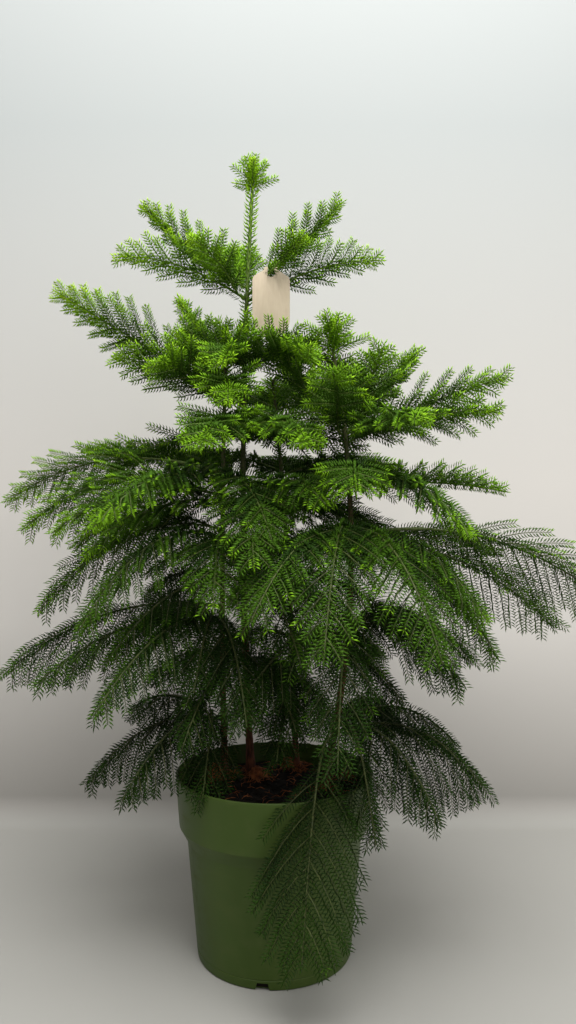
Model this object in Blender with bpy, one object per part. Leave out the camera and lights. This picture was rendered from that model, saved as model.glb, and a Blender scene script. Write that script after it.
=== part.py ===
"""A potted Norfolk Island pine: four young stems in one nursery pot, with whorled limbs and needle sprays.

Metres, +Z up. The origin is the centre of the pot's flat underside, and -Y is the front.
"""

import math
import random
from typing import NamedTuple

import bmesh
import bpy
from mathutils import Vector
from mathutils.bvhtree import BVHTree

# Clearance between neighbouring solids
GAP = 0.0003
MERGE = 0.00001

# Pot
POT_HEIGHT = 0.245
POT_RIM_RADIUS = 0.135
POT_COLLAR_RADIUS = 0.130
POT_COLLAR_FOOT = 0.177
POT_SHOULDER_RADIUS = 0.119
POT_SHOULDER = 0.158
POT_FOOT_RADIUS = 0.105
POT_FOOT_ROUND = 0.003
POT_WALL = 0.0022
POT_FLOOR = 0.004
POT_STEPS = 36
NOTCH_COUNT = 4
NOTCH_HEADING = -97.4
NOTCH_WIDTH = 0.023
NOTCH_TOP_WIDTH = 0.014
NOTCH_HEIGHT = 0.010
NOTCH_DEPTH = 0.007

# Soil
SOIL_TOP = 0.222
SOIL_EDGE_DROP = 0.004
SOIL_SHOULDER = 0.016

# Stems
STEM_SIDES = 8
STEM_RINGS = 13
RING_CROWDING = 1.3
FLARE = 0.8
FLARE_HEIGHT = 0.018

# Limbs
LIMB_BEND = 0.55
PATH_SPANS = 40
JOIN = 0.012
BOUGH_SIDES = 6
BOUGH_RINGS = 6
BOUGH_ROOT_RADIUS = 0.0030
BOUGH_TIP_RADIUS = 0.0021
TWIG_SIDES = 3
TWIG_RINGS = 4
TWIG_ROOT_RADIUS = 0.0022
TWIG_TIP_RADIUS = 0.0012
TWIG_END = 0.92

# Needle blades
BLADE_PITCH = 0.102
BLADE_HALF_WIDTH = 0.0200
BLADE_FULL_LENGTH = 0.06
BLADE_LEAST_WIDTH = 0.45
BLADE_THICKNESS = 0.0032
BLADE_LEAST = 0.030
TUFT_TOP_LEAST = 0.020
BLADE_TRIM = 0.8
BLADE_CLEARANCE = 0.0012
LOWEST_NEEDLE = 0.030
SOIL_CLEARANCE = 0.010

# How the blades of a limb stand: degrees, and shares of the limb's length
ROW_START = 0.35
ROW_STAGGER = 0.2
ROW_TILTS = (-30, 20)
TILT_HEIGHTS = (0.30, 0.55, 0.85)
TILTS = (-38, -14, 18)
TILT_SPREAD = 10
LEAN_ROOT = 52
LEAN_FALL = 12
LEAN_SPREAD = 5
BLADE_ROLL = 30
LENGTH_SPREAD = (0.90, 1.08)
TIP_OVERLAP = 0.02
ROW_END = 0.88

# How the side sprays lengthen and shorten along a limb
SPRAY_LEAST = 0.35
SPRAY_START = 0.55
SPRAY_GROWTH = 1.5
SPRAY_FALL = 0.5

# Upright tufts
GOLDEN_ANGLE = math.radians(137.5)
TUFT_BLADES = 7
TUFT_TWIG_END = 0.62
TUFT_TOP_BLADE = 0.45
TUFT_BAND = (0.22, 0.56)
TUFT_STEEP = (12, 60)
TUFT_SHORTER = 0.45

# Hang tag
TAG_WIDTH = 0.052
TAG_HEIGHT = 0.097
TAG_THICKNESS = 0.0012
TAG_EYE_RADIUS = 0.0050
TAG_EYE_DROP = 0.0095
TAG_SLIT = 0.0024
TAG_LIMB = "tall_front"
TAG_PLACE = 0.42
TAG_YAW = 6
TAG_CORNER_STEPS = 4
TAG_EYE_STEPS = 10


class Stem(NamedTuple):
    """One stem: its foot, waist and tip, and its radius at the foot and at the tip."""

    foot: tuple
    waist: tuple
    tip: tuple
    root_radius: float
    tip_radius: float


class Limb(NamedTuple):
    """One limb: its height on a stem, heading in degrees, reach, rise of its tip and lift at its bend.

    spread is its longest side spray, tilt lifts both rows of sprays, roll turns their plane about the limb, bare is
    the share of it that is a bough of its own, and leafless the share of its twig without sprays. mass names the limb
    of the same whorl that it grows out of, close to the stem, so that both are one solid.
    """

    name: str
    stem: str
    height: float
    heading: float
    reach: float
    rise: float
    lift: float
    spread: float
    tilt: float = None
    roll: float = 0
    bare: float = 0
    leafless: float = 0.12
    mass: str = ""


STEMS = {
    "stem_tall": Stem((-0.035, 0.060, SOIL_TOP), (-0.046, 0.050, 0.600), (-0.032, 0.031, 1.052), 0.0052, 0.0024),
    "stem_left": Stem((-0.072, 0.048, SOIL_TOP), (-0.0755, 0.046, 0.520), (-0.070, 0.036, 0.822), 0.0046, 0.0023),
    "stem_right": Stem((0.066, -0.010, SOIL_TOP), (0.104, -0.012, 0.600), (0.080, -0.018, 0.815), 0.0052, 0.0024),
    "stem_back": Stem((0.030, 0.085, SOIL_TOP), (0.020, 0.085, 0.500), (-0.004, 0.080, 0.795), 0.0044, 0.0022),
}

# Upright tufts on the stems' tips: stem, height of the tuft, longest spray
TUFTS = {
    "tall": ("stem_tall", 0.052, 0.048),
    "left": ("stem_left", 0.045, 0.060),
    "right": ("stem_right", 0.050, 0.060),
}

LIMBS = (
    Limb("tall_high_left", "stem_tall", 0.919, 171, 0.157, 0.128, 0.050, 0.070, roll=-35),
    Limb("tall_low_left", "stem_tall", 0.903, -167, 0.186, 0.046, 0.060, 0.070, roll=-40),
    Limb("tall_high_right", "stem_tall", 0.921, 8, 0.138, 0.128, 0.055, 0.070, roll=35),
    Limb("tall_low_right", "stem_tall", 0.900, -13, 0.194, 0.044, 0.055, 0.068, roll=40),
    Limb("tall_back", "stem_tall", 0.912, 100, 0.140, 0.105, 0.050, 0.070, mass="tall_high_left"),
    Limb("tall_front", "stem_tall", 0.908, -46, 0.115, 0.060, 0.030, 0.045, leafless=0.55),
    Limb("tall_front_left", "stem_tall", 0.905, -122, 0.125, 0.050, 0.045, 0.060, roll=-20, mass="tall_low_left"),
    Limb("mid_front_left", "stem_tall", 0.806, -98, 0.150, -0.022, 0.030, 0.085, roll=-25),
    Limb("mid_front_right", "stem_tall", 0.800, -58, 0.175, -0.012, 0.038, 0.085, roll=25),
    Limb("mid_back_left", "stem_tall", 0.808, 137, 0.150, 0.125, 0.035, 0.060),
    Limb("mid_back_right", "stem_tall", 0.802, 45, 0.150, 0.060, 0.050, 0.080, mass="mid_back_left"),
    Limb("mid_left", "stem_tall", 0.804, -145, 0.130, 0.000, 0.035, 0.080, roll=-35, mass="mid_front_left"),
    Limb("mid_right", "stem_tall", 0.798, -8, 0.170, -0.010, 0.045, 0.080, roll=30, mass="mid_front_right"),
    Limb("inner_front", "stem_tall", 0.705, -66, 0.225, -0.030, 0.045, 0.100),
    Limb("inner_front_left", "stem_tall", 0.702, -100, 0.230, -0.030, 0.045, 0.095, mass="inner_front"),
    Limb("inner_left", "stem_tall", 0.692, 168, 0.210, -0.045, 0.030, 0.090, roll=-15, mass="inner_back_left"),
    Limb("inner_right", "stem_tall", 0.690, 2, 0.170, 0.000, 0.035, 0.095, roll=35, mass="inner_front"),
    Limb("inner_back", "stem_tall", 0.700, 62, 0.235, 0.010, 0.045, 0.095, mass="inner_back_left"),
    Limb("inner_back_left", "stem_tall", 0.704, 112, 0.220, 0.030, 0.050, 0.090),
    Limb("core_front", "stem_tall", 0.606, -84, 0.250, -0.070, 0.040, 0.100, mass="core_right"),
    Limb("core_high_front", "stem_tall", 0.612, -62, 0.235, -0.005, 0.065, 0.095, mass="core_right"),
    Limb("core_right", "stem_tall", 0.600, -10, 0.235, -0.050, 0.040, 0.100, roll=30),
    Limb("core_back", "stem_tall", 0.604, 84, 0.280, -0.020, 0.040, 0.090, mass="core_right"),
    Limb("core_left", "stem_tall", 0.608, -146, 0.235, -0.065, 0.040, 0.095, roll=-25, mass="core_right"),
    Limb("core_back_right", "stem_tall", 0.598, 30, 0.220, -0.020, 0.040, 0.095, mass="core_right"),
    Limb("deep_front", "stem_tall", 0.505, -70, 0.235, -0.090, 0.030, 0.095, mass="deep_left"),
    Limb("deep_left", "stem_tall", 0.500, -140, 0.220, -0.095, 0.030, 0.090),
    Limb("deep_back_left", "stem_tall", 0.508, 140, 0.220, -0.050, 0.030, 0.090, mass="deep_left"),
    Limb("deep_right", "stem_tall", 0.512, -14, 0.215, -0.060, 0.030, 0.090, roll=30, mass="deep_left"),
    Limb("deep_front_right", "stem_tall", 0.498, -40, 0.235, -0.075, 0.030, 0.095, roll=20, mass="deep_left"),
    Limb("under_front", "stem_tall", 0.385, -110, 0.200, -0.075, 0.030, 0.085),
    Limb("under_front_right", "stem_tall", 0.387, -68, 0.190, -0.060, 0.035, 0.090, mass="under_front"),
    Limb("under_left", "stem_tall", 0.385, 148, 0.190, -0.050, 0.030, 0.085, mass="under_front"),
    Limb("under_right", "stem_tall", 0.385, -46, 0.180, -0.070, 0.030, 0.090, mass="under_front"),
    Limb("left_long", "stem_left", 0.772, 171, 0.258, 0.155, 0.080, 0.095, roll=-45, leafless=0.2),
    Limb("left_low", "stem_left", 0.756, -162, 0.155, 0.056, 0.050, 0.085, roll=-35),
    Limb("left_back", "stem_left", 0.766, 118, 0.170, 0.130, 0.060, 0.085),
    Limb("left_front", "stem_left", 0.762, -84, 0.165, -0.030, 0.035, 0.085),
    Limb("left_front_left", "stem_left", 0.758, -128, 0.135, 0.035, 0.040, 0.085, roll=-20, mass="left_low"),
    Limb("wide_back_left", "stem_left", 0.650, 147, 0.290, 0.045, 0.050, 0.085, tilt=25, leafless=0.2),
    Limb("wide_left", "stem_left", 0.655, 177, 0.318, -0.043, 0.060, 0.088, roll=-35, bare=0.25),
    Limb("wide_front_left", "stem_left", 0.640, -121, 0.260, -0.060, 0.040, 0.100, roll=-15),
    Limb("middle_left", "stem_left", 0.622, -153, 0.242, -0.052, 0.040, 0.100, roll=-30),
    Limb("wide_low_left", "stem_left", 0.634, -167, 0.275, -0.060, 0.055, 0.095, roll=-30, mass="middle_left"),
    Limb("wide_back", "stem_left", 0.660, 108, 0.270, 0.030, 0.050, 0.090, mass="wide_back_left"),
    Limb("middle_inner", "stem_left", 0.632, -70, 0.225, -0.075, 0.040, 0.095, mass="wide_front_left"),
    Limb("arched_left", "stem_left", 0.575, -165, 0.255, -0.112, 0.040, 0.100, roll=-35),
    Limb("arched_back_left", "stem_left", 0.580, 155, 0.270, -0.040, 0.050, 0.095, roll=-30, mass="arched_left"),
    Limb("arched_front_left", "stem_left", 0.568, -125, 0.265, -0.110, 0.040, 0.100, roll=-15, mass="middle_front"),
    Limb("middle_front", "stem_left", 0.560, -88, 0.240, -0.070, 0.030, 0.095),
    Limb("lower_left", "stem_left", 0.464, -175, 0.310, -0.096, 0.030, 0.100, tilt=-38, roll=-50, bare=0.25),
    Limb("lower_front_left", "stem_left", 0.444, -121, 0.260, -0.085, 0.030, 0.095, roll=-15, mass="lower_middle_left"),
    Limb("lower_back_left", "stem_left", 0.440, 125, 0.270, -0.035, 0.040, 0.085, mass="lower_middle_left"),
    Limb("lower_front", "stem_left", 0.440, -78, 0.220, -0.095, 0.030, 0.095, mass="lower_middle_left"),
    Limb("lower_inner", "stem_left", 0.434, -98, 0.165, -0.060, 0.035, 0.090, mass="lower_middle_left"),
    Limb("lower_middle_left", "stem_left", 0.448, -148, 0.270, -0.070, 0.030, 0.095, roll=-30),
    Limb("lowest_left", "stem_left", 0.302, -171, 0.195, -0.085, 0.030, 0.080, roll=-40),
    Limb("lowest_front_left", "stem_left", 0.305, -128, 0.190, -0.070, 0.035, 0.085, roll=-20, mass="lowest_left"),
    Limb("lowest_inner_left", "stem_left", 0.302, -95, 0.160, -0.060, 0.035, 0.085, mass="lowest_left"),
    Limb("lowest_middle", "stem_back", 0.335, -97, 0.190, -0.050, 0.035, 0.090, mass="back_deep_right"),
    Limb("lowest_back_left", "stem_left", 0.310, 140, 0.210, -0.030, 0.040, 0.085, mass="lowest_left"),
    Limb("right_up_left", "stem_right", 0.702, -165, 0.105, 0.140, 0.055, 0.085, roll=-20),
    Limb("right_up_front", "stem_right", 0.702, -68, 0.110, 0.105, 0.060, 0.080, mass="right_side"),
    Limb("right_up_back", "stem_right", 0.702, 130, 0.130, 0.120, 0.060, 0.085, mass="right_up"),
    Limb("right_up", "stem_right", 0.706, 31, 0.125, 0.125, 0.065, 0.090, roll=25),
    Limb("right_up_inner", "stem_right", 0.712, 60, 0.110, 0.120, 0.060, 0.085, mass="right_up"),
    Limb("right_side", "stem_right", 0.694, -2, 0.222, 0.088, 0.065, 0.090, roll=35),
    Limb("right_side_low", "stem_right", 0.684, -20, 0.205, 0.045, 0.050, 0.090, roll=20, mass="right_side"),
    Limb("right_front", "stem_right", 0.688, -63, 0.175, 0.022, 0.040, 0.090, mass="right_side"),
    Limb("right_top_front", "stem_right", 0.696, -100, 0.150, 0.070, 0.060, 0.085, mass="right_up_left"),
    Limb("right_back", "stem_right", 0.700, 88, 0.150, 0.130, 0.065, 0.085, mass="right_up"),
    Limb("comb_right", "stem_right", 0.636, 31, 0.296, -0.006, 0.015, 0.080, tilt=48, leafless=0.2),
    Limb("comb_front", "stem_right", 0.632, -52, 0.210, -0.060, 0.040, 0.095, roll=20),
    Limb("comb_side", "stem_right", 0.640, -92, 0.200, -0.020, 0.040, 0.090, mass="comb_front"),
    Limb("comb_left", "stem_right", 0.628, -140, 0.150, -0.045, 0.025, 0.095, mass="comb_front"),
    Limb("comb_back", "stem_right", 0.638, 100, 0.270, 0.020, 0.040, 0.090, mass="comb_right"),
    Limb("long_right", "stem_right", 0.568, -2, 0.365, -0.106, 0.040, 0.115, roll=50, bare=0.25),
    Limb("long_right_low", "stem_right", 0.530, 11, 0.305, -0.100, 0.035, 0.105, roll=50, mass="broad_back_right"),
    Limb("front_left", "stem_right", 0.565, -118, 0.270, -0.085, 0.040, 0.105, roll=-10),
    Limb("front_inner_left", "stem_right", 0.552, -138, 0.215, -0.070, 0.045, 0.095, mass="front_left"),
    Limb("front_right", "stem_right", 0.558, -74, 0.275, -0.120, 0.050, 0.105, roll=10, mass="front_left"),
    Limb("broad_front", "stem_right", 0.565, -100, 0.290, -0.120, 0.060, 0.105, mass="front_left"),
    Limb("broad_front_right", "stem_right", 0.556, -50, 0.225, -0.085, 0.045, 0.105, roll=20),
    Limb("drooping_right", "stem_right", 0.552, -32, 0.205, -0.136, 0.030, 0.095, roll=25, mass="broad_front_right"),
    Limb("broad_back_right", "stem_right", 0.550, 32, 0.270, -0.014, 0.045, 0.100, roll=30),
    Limb("middle_back", "stem_right", 0.562, 72, 0.280, -0.030, 0.040, 0.090, mass="broad_back_right"),
    Limb("dark_right", "stem_right", 0.446, 17, 0.190, -0.060, 0.030, 0.100, roll=30),
    Limb("dark_front_right", "stem_right", 0.442, -38, 0.175, -0.060, 0.035, 0.095, roll=20, mass="low_front"),
    Limb("dark_back_right", "stem_right", 0.450, 55, 0.250, -0.040, 0.035, 0.095, mass="dark_right"),
    Limb("dark_left", "stem_right", 0.436, -140, 0.200, -0.095, 0.030, 0.090, mass="low_front"),
    Limb("low_front", "stem_right", 0.440, -97, 0.232, -0.125, 0.040, 0.095),
    Limb("lowest_right", "stem_right", 0.300, -3, 0.205, -0.075, 0.045, 0.115, roll=45, leafless=0.2),
    Limb("lowest_front_right", "stem_right", 0.300, -43, 0.170, -0.085, 0.045, 0.085, roll=20, mass="lowest_right"),
    Limb("lowest_front", "stem_right", 0.300, -74, 0.150, -0.100, 0.060, 0.080, mass="lowest_right"),
    Limb("hanging_front", "stem_right", 0.286, -103, 0.205, -0.200, 0.070, 0.128, tilt=0, bare=0.24, leafless=0.06),
    Limb("lowest_back", "stem_right", 0.306, 62, 0.230, -0.050, 0.055, 0.085),
    Limb("lowest_back_right", "stem_right", 0.306, 30, 0.220, -0.060, 0.050, 0.085, mass="lowest_back"),
    Limb("back_left", "stem_back", 0.742, 120, 0.180, 0.040, 0.050, 0.090, mass="back_top"),
    Limb("back_right", "stem_back", 0.736, 35, 0.180, 0.050, 0.050, 0.090, mass="back_top"),
    Limb("back_top", "stem_back", 0.746, 80, 0.170, 0.070, 0.050, 0.085),
    Limb("back_mid_left", "stem_back", 0.660, 140, 0.240, 0.020, 0.050, 0.090, mass="back_mid"),
    Limb("back_mid", "stem_back", 0.656, 88, 0.270, 0.020, 0.045, 0.090),
    Limb("back_mid_right", "stem_back", 0.654, 38, 0.240, 0.010, 0.050, 0.090),
    Limb("back_mid_front", "stem_back", 0.650, -25, 0.200, -0.010, 0.040, 0.090, mass="back_mid_right"),
    Limb("back_low_left", "stem_back", 0.545, 112, 0.260, -0.040, 0.040, 0.090),
    Limb("back_low_right", "stem_back", 0.548, 56, 0.260, -0.040, 0.040, 0.090),
    Limb("back_low_side", "stem_back", 0.540, 10, 0.220, -0.040, 0.040, 0.090, roll=30, mass="back_low_right"),
    Limb("back_low_far_left", "stem_back", 0.542, 165, 0.230, -0.040, 0.040, 0.090, mass="back_low_left"),
    Limb("back_deep_left", "stem_back", 0.410, 128, 0.220, -0.050, 0.030, 0.085, mass="back_deep_right"),
    Limb("back_deep_right", "stem_back", 0.405, 45, 0.220, -0.050, 0.030, 0.085),
    Limb("back_deep_front", "stem_back", 0.405, -42, 0.200, -0.060, 0.030, 0.085, mass="back_deep_right"),
)

# Colours, linear
POT_GREEN = (0.072, 0.117, 0.048)
SOIL_BROWN = (0.012, 0.008, 0.005)
BARK_BROWN = (0.060, 0.050, 0.022)
TAG_BEIGE = (0.560, 0.480, 0.370)
NEEDLE_YOUNG = (0.190, 0.330, 0.045)
NEEDLE_OLD = (0.030, 0.075, 0.016)
YOUNG_HEIGHT = 0.90
OLD_HEIGHT = 0.35
COLOUR_EASE = 1.5


# Scene and materials

def clear_scene():
    for item in list(bpy.data.objects):
        bpy.data.objects.remove(item, do_unlink=True)


def plain_material(name, colour, roughness):
    made = bpy.data.materials.new(name)
    made.use_nodes = True
    shader = made.node_tree.nodes["Principled BSDF"]
    shader.inputs["Base Color"].default_value = (*colour, 1)
    shader.inputs["Roughness"].default_value = roughness
    shader.inputs["Metallic"].default_value = 0
    made.diffuse_color = (*colour, 1)
    return made


def add_object(name, mesh, material=None):
    made = bpy.data.objects.new(name, mesh)
    bpy.context.scene.collection.objects.link(made)
    if material:
        mesh.materials.clear()
        mesh.materials.append(material)
    return made


def mesh_from(name, points, faces):
    """A closed mesh from points and faces, with its normals facing out."""
    mesh = bpy.data.meshes.new(name)
    mesh.from_pydata([tuple(point) for point in points], [], faces)
    work = bmesh.new()
    work.from_mesh(mesh)
    bmesh.ops.triangulate(work, faces=work.faces)
    bmesh.ops.recalc_face_normals(work, faces=work.faces)
    work.to_mesh(mesh)
    work.free()
    return mesh


def mesh_parts(mesh):
    """A mesh's points and its faces cut into triangles."""
    mesh.calc_loop_triangles()
    return [point.co.copy() for point in mesh.vertices], [list(face.vertices) for face in mesh.loop_triangles]


def evaluated_mesh(item):
    """A copy of the object's mesh with its modifiers in effect."""
    bpy.context.view_layer.update()
    evaluated = item.evaluated_get(bpy.context.evaluated_depsgraph_get())
    return bpy.data.meshes.new_from_object(evaluated)


def islands(work):
    """The connected pieces of an edit mesh, each as a set of its points, the largest first."""
    left = set(work.verts)
    found = []
    while left:
        island = {left.pop()}
        edge = list(island)
        while edge:
            nearby = {link.other_vert(point) for point in edge for link in point.link_edges} - island
            island |= nearby
            edge = list(nearby)
        left -= island
        found.append(island)
    return sorted(found, key=len, reverse=True)


def is_whole(mesh):
    """True where the mesh is one closed body."""
    work = bmesh.new()
    work.from_mesh(mesh)
    whole = len(islands(work)) == 1 and all(edge.is_manifold for edge in work.edges)
    work.free()
    return whole


# Turned pieces

def turned(name, profile, material):
    """A profile of (radius, height) points from axis to axis, turned about Z."""
    mesh = bpy.data.meshes.new(name)
    edges = [(i, i + 1) for i in range(len(profile) - 1)]
    mesh.from_pydata([(radius, 0, height) for radius, height in profile], edges, [])
    made = add_object(name, mesh, material)
    screw = made.modifiers.new("Turn", "SCREW")
    screw.steps = POT_STEPS
    screw.render_steps = POT_STEPS
    screw.use_merge_vertices = True
    screw.merge_threshold = MERGE
    return made


def wall_radius(height, inset):
    """The pot's outer radius at a height, less an inset."""
    corners = (
        (0, POT_FOOT_RADIUS),
        (POT_SHOULDER, POT_SHOULDER_RADIUS),
        (POT_COLLAR_FOOT, POT_COLLAR_RADIUS),
        (POT_HEIGHT, POT_RIM_RADIUS),
    )
    for (low, low_radius), (high, high_radius) in zip(corners, corners[1:]):
        if height <= high:
            share = (height - low) / (high - low)
            return low_radius + (high_radius - low_radius) * share - inset
    return POT_RIM_RADIUS - inset


def inner_profile(bottom, top, inset):
    """The pot's inside from its floor's centre up the wall to a height."""
    heights = [bottom, POT_SHOULDER, POT_COLLAR_FOOT, top]
    return [(0, bottom)] + [(wall_radius(height, inset), height) for height in heights]


def add_pot():
    inside = inner_profile(POT_FLOOR, POT_HEIGHT, POT_WALL)
    outside = [
        (POT_RIM_RADIUS, POT_HEIGHT),
        (POT_COLLAR_RADIUS, POT_COLLAR_FOOT),
        (POT_SHOULDER_RADIUS, POT_SHOULDER),
        (wall_radius(POT_FOOT_ROUND, 0), POT_FOOT_ROUND),
        (POT_FOOT_RADIUS - POT_FOOT_ROUND, 0),
        (0, 0),
    ]
    pot = turned("pot", inside + outside, plain_material("pot_plastic", POT_GREEN, 0.5))
    cut = pot.modifiers.new("Drain notches", "BOOLEAN")
    cut.operation = "DIFFERENCE"
    cut.object = notch_cutter()
    return pot


def notch_cutter():
    """One block for each drain notch in the pot's foot, tapering towards its top."""
    points = []
    faces = []
    for i in range(NOTCH_COUNT):
        heading = math.radians(NOTCH_HEADING) + i * math.tau / NOTCH_COUNT
        outward = Vector((math.cos(heading), math.sin(heading), 0))
        across = Vector((-outward.y, outward.x, 0))
        first = len(points)
        for height, width in ((-NOTCH_HEIGHT, NOTCH_WIDTH), (NOTCH_HEIGHT, NOTCH_TOP_WIDTH)):
            for distance in (POT_FOOT_RADIUS - NOTCH_DEPTH, POT_FOOT_RADIUS + NOTCH_DEPTH):
                for side in (-0.5, 0.5):
                    points.append(outward * distance + across * side * width + Vector((0, 0, height)))
        box = ((0, 1, 3, 2), (4, 6, 7, 5), (0, 4, 5, 1), (2, 3, 7, 6), (0, 2, 6, 4), (1, 5, 7, 3))
        faces += [[first + corner for corner in face] for face in box]
    cutter = add_object("notch_cutter", mesh_from("notch_cutter", points, faces))
    cutter.hide_render = True
    cutter.display_type = "WIRE"
    return cutter


def add_soil():
    inset = POT_WALL + GAP
    edge = SOIL_TOP - SOIL_EDGE_DROP
    profile = inner_profile(POT_FLOOR + GAP, edge, inset)
    profile.append((wall_radius(edge, inset) - SOIL_SHOULDER, SOIL_TOP))
    profile.append((0, SOIL_TOP))
    return turned("soil", profile[::-1], plain_material("potting_soil", SOIL_BROWN, 0.95))


# Tubes

def loft(rings):
    """Points and faces of a closed tube through rings of equal size."""
    sides = len(rings[0])
    points = [point for ring in rings for point in ring]
    faces = [list(range(sides))[::-1]]
    for row in range(len(rings) - 1):
        low = row * sides
        for i in range(sides):
            j = (i + 1) % sides
            faces.append([low + i, low + j, low + sides + j, low + sides + i])
    last = (len(rings) - 1) * sides
    faces.append([last + i for i in range(sides)])
    return points, faces


def ring(centre, normal, radius, sides):
    """A ring about a centre, across a normal, with one corner as high or as far forward as it goes."""
    up = Vector((0, 0, 1)) if abs(normal.z) < 0.99 else Vector((0, -1, 0))
    side = normal.cross(up).normalized()
    top = side.cross(normal).normalized()
    turns = [i * math.tau / sides for i in range(sides)]
    return [centre + radius * (math.cos(turn) * top + math.sin(turn) * side) for turn in turns]


def stem_centre(stem, height):
    """The point of a stem's axis at a height, on the quadratic through foot, waist and tip."""
    foot, waist, tip = (Vector(place) for place in stem[:3])
    foot_share = (height - waist.z) * (height - tip.z) / ((foot.z - waist.z) * (foot.z - tip.z))
    waist_share = (height - foot.z) * (height - tip.z) / ((waist.z - foot.z) * (waist.z - tip.z))
    tip_share = (height - foot.z) * (height - waist.z) / ((tip.z - foot.z) * (tip.z - waist.z))
    place = foot * foot_share + waist * waist_share + tip * tip_share
    return Vector((place.x, place.y, height))


def stem_radius(stem, height):
    """The stem's taper, with the root flare near the soil."""
    above = height - SOIL_TOP
    share = above / (stem.tip[2] - SOIL_TOP)
    taper = stem.root_radius + (stem.tip_radius - stem.root_radius) * share
    return taper * (1 + FLARE * math.exp(-above / FLARE_HEIGHT))


def stem_rings(stem):
    """Level rings from the flat cut at the soil to the tip, closer together in the flare."""
    foot = SOIL_TOP + GAP
    rings = []
    for i in range(STEM_RINGS):
        share = (i / (STEM_RINGS - 1)) ** RING_CROWDING
        height = foot + (stem.tip[2] - foot) * share
        rings.append(ring(stem_centre(stem, height), Vector((0, 0, 1)), stem_radius(stem, height), STEM_SIDES))
    return rings


def stem_seat(stem, height, outward, half_height):
    """How far out from the stem's axis a flat end facing it lies, to clear its corners by the gap."""
    centre = stem_centre(stem, height)
    furthest = 0
    for level in (height - half_height, height, height + half_height):
        corners = ring(stem_centre(stem, level), Vector((0, 0, 1)), stem_radius(stem, level), STEM_SIDES)
        furthest = max(furthest, max((corner - centre).dot(outward) for corner in corners))
    return furthest + GAP


# Limb paths

def limb_named(name):
    return next(limb for limb in LIMBS if limb.name == name)


class Path:
    """A limb's axis from its seat on the stem, or in the twig that it grows out of, to its tip."""

    def __init__(self, limb):
        stem = STEMS[limb.stem]
        heading = math.radians(limb.heading)
        self.outward = Vector((math.cos(heading), math.sin(heading), 0))
        root = stem_centre(stem, limb.height)
        if limb.mass:
            host = limb_named(limb.mass)
            host_path = Path(host)
            seat = on_twig(host, host_path, JOIN / host_path.length)
        else:
            half_height = BOUGH_ROOT_RADIUS if limb.bare else TWIG_ROOT_RADIUS
            seat = root + self.outward * stem_seat(stem, limb.height, self.outward, half_height)
        bend = root + self.outward * limb.reach * LIMB_BEND + Vector((0, 0, limb.lift))
        tip = root + self.outward * limb.reach + Vector((0, 0, limb.rise))
        self.corners = (seat, bend, tip)
        self.points = [self.bezier(i / PATH_SPANS) for i in range(PATH_SPANS + 1)]
        self.lengths = [0]
        for low, high in zip(self.points, self.points[1:]):
            self.lengths.append(self.lengths[-1] + (high - low).length)
        self.length = self.lengths[-1]

    def bezier(self, share):
        seat, bend, tip = self.corners
        return seat * (1 - share) ** 2 + bend * 2 * share * (1 - share) + tip * share ** 2

    def place(self, share):
        """The point at a share of the length."""
        wanted = share * self.length
        for i in range(len(self.points) - 1):
            if wanted <= self.lengths[i + 1] or i == len(self.points) - 2:
                span = self.lengths[i + 1] - self.lengths[i]
                return self.points[i].lerp(self.points[i + 1], (wanted - self.lengths[i]) / span)
        return self.points[-1]

    def tangent(self, share):
        step = 0.01
        return (self.place(min(1, share + step)) - self.place(max(0, share - step))).normalized()


def twig_axis(limb, path):
    """The shares of the limb's length at which its twig has a ring."""
    start = limb.bare + (GAP / path.length if limb.bare else 0)
    return [start + (TWIG_END - start) * i / (TWIG_RINGS - 1) for i in range(TWIG_RINGS)]


def on_twig(limb, path, share):
    """The point on the straight runs between the twig's rings, where a blade roots."""
    shares = twig_axis(limb, path)
    for low, high in zip(shares, shares[1:]):
        if share <= high:
            return path.place(low).lerp(path.place(high), (share - low) / (high - low))
    return path.place(shares[-1])


def limb_rings(limb, path, start, end, radii, sides, rings):
    """Rings along a share of a path. The first one on a stem is upright, and so faces it."""
    made = []
    for i in range(rings):
        share = start + (end - start) * i / (rings - 1)
        normal = path.outward if share == 0 and not limb.mass else path.tangent(share)
        radius = radii[0] + (radii[1] - radii[0]) * i / (rings - 1)
        made.append(ring(path.place(share), normal, radius, sides))
    return made


# Needle blades

class Blade(NamedTuple):
    """One toothed blade: its root, direction, the direction across it, its length, and the least it is shortened to."""

    root: Vector
    along: Vector
    across: Vector
    length: float
    least: float = BLADE_LEAST


BLADE_OUTLINE = ((0, 0), (0.45, 1), (1, 0), (0.45, -1))
BLADE_RIDGE = 0.42


def blade_solid(blade, swell=0):
    """Points and faces: the outline, joined to a ridge point above it and one below."""
    width_share = min(1, BLADE_LEAST_WIDTH + (1 - BLADE_LEAST_WIDTH) * blade.length / BLADE_FULL_LENGTH)
    half_width = BLADE_HALF_WIDTH * width_share + swell
    lift = blade.along.cross(blade.across).normalized() * (BLADE_THICKNESS / 2 + swell)
    length = blade.length + swell
    points = [blade.root + blade.along * length * far + blade.across * half_width * side
              for far, side in BLADE_OUTLINE]
    middle = blade.root + blade.along * length * BLADE_RIDGE
    points += [middle + lift, middle - lift]
    corners = len(BLADE_OUTLINE)
    faces = []
    for i in range(corners):
        j = (i + 1) % corners
        faces.append([j, i, corners])
        faces.append([i, j, corners + 1])
    return points, faces


def spray_length(limb, share):
    """The side sprays grow longer from the limb's root to its middle, then shorter to its tip."""
    grown = min(1, SPRAY_START + SPRAY_GROWTH * share)
    return limb.spread * max(SPRAY_LEAST, grown * (1 - share) ** SPRAY_FALL)


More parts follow.
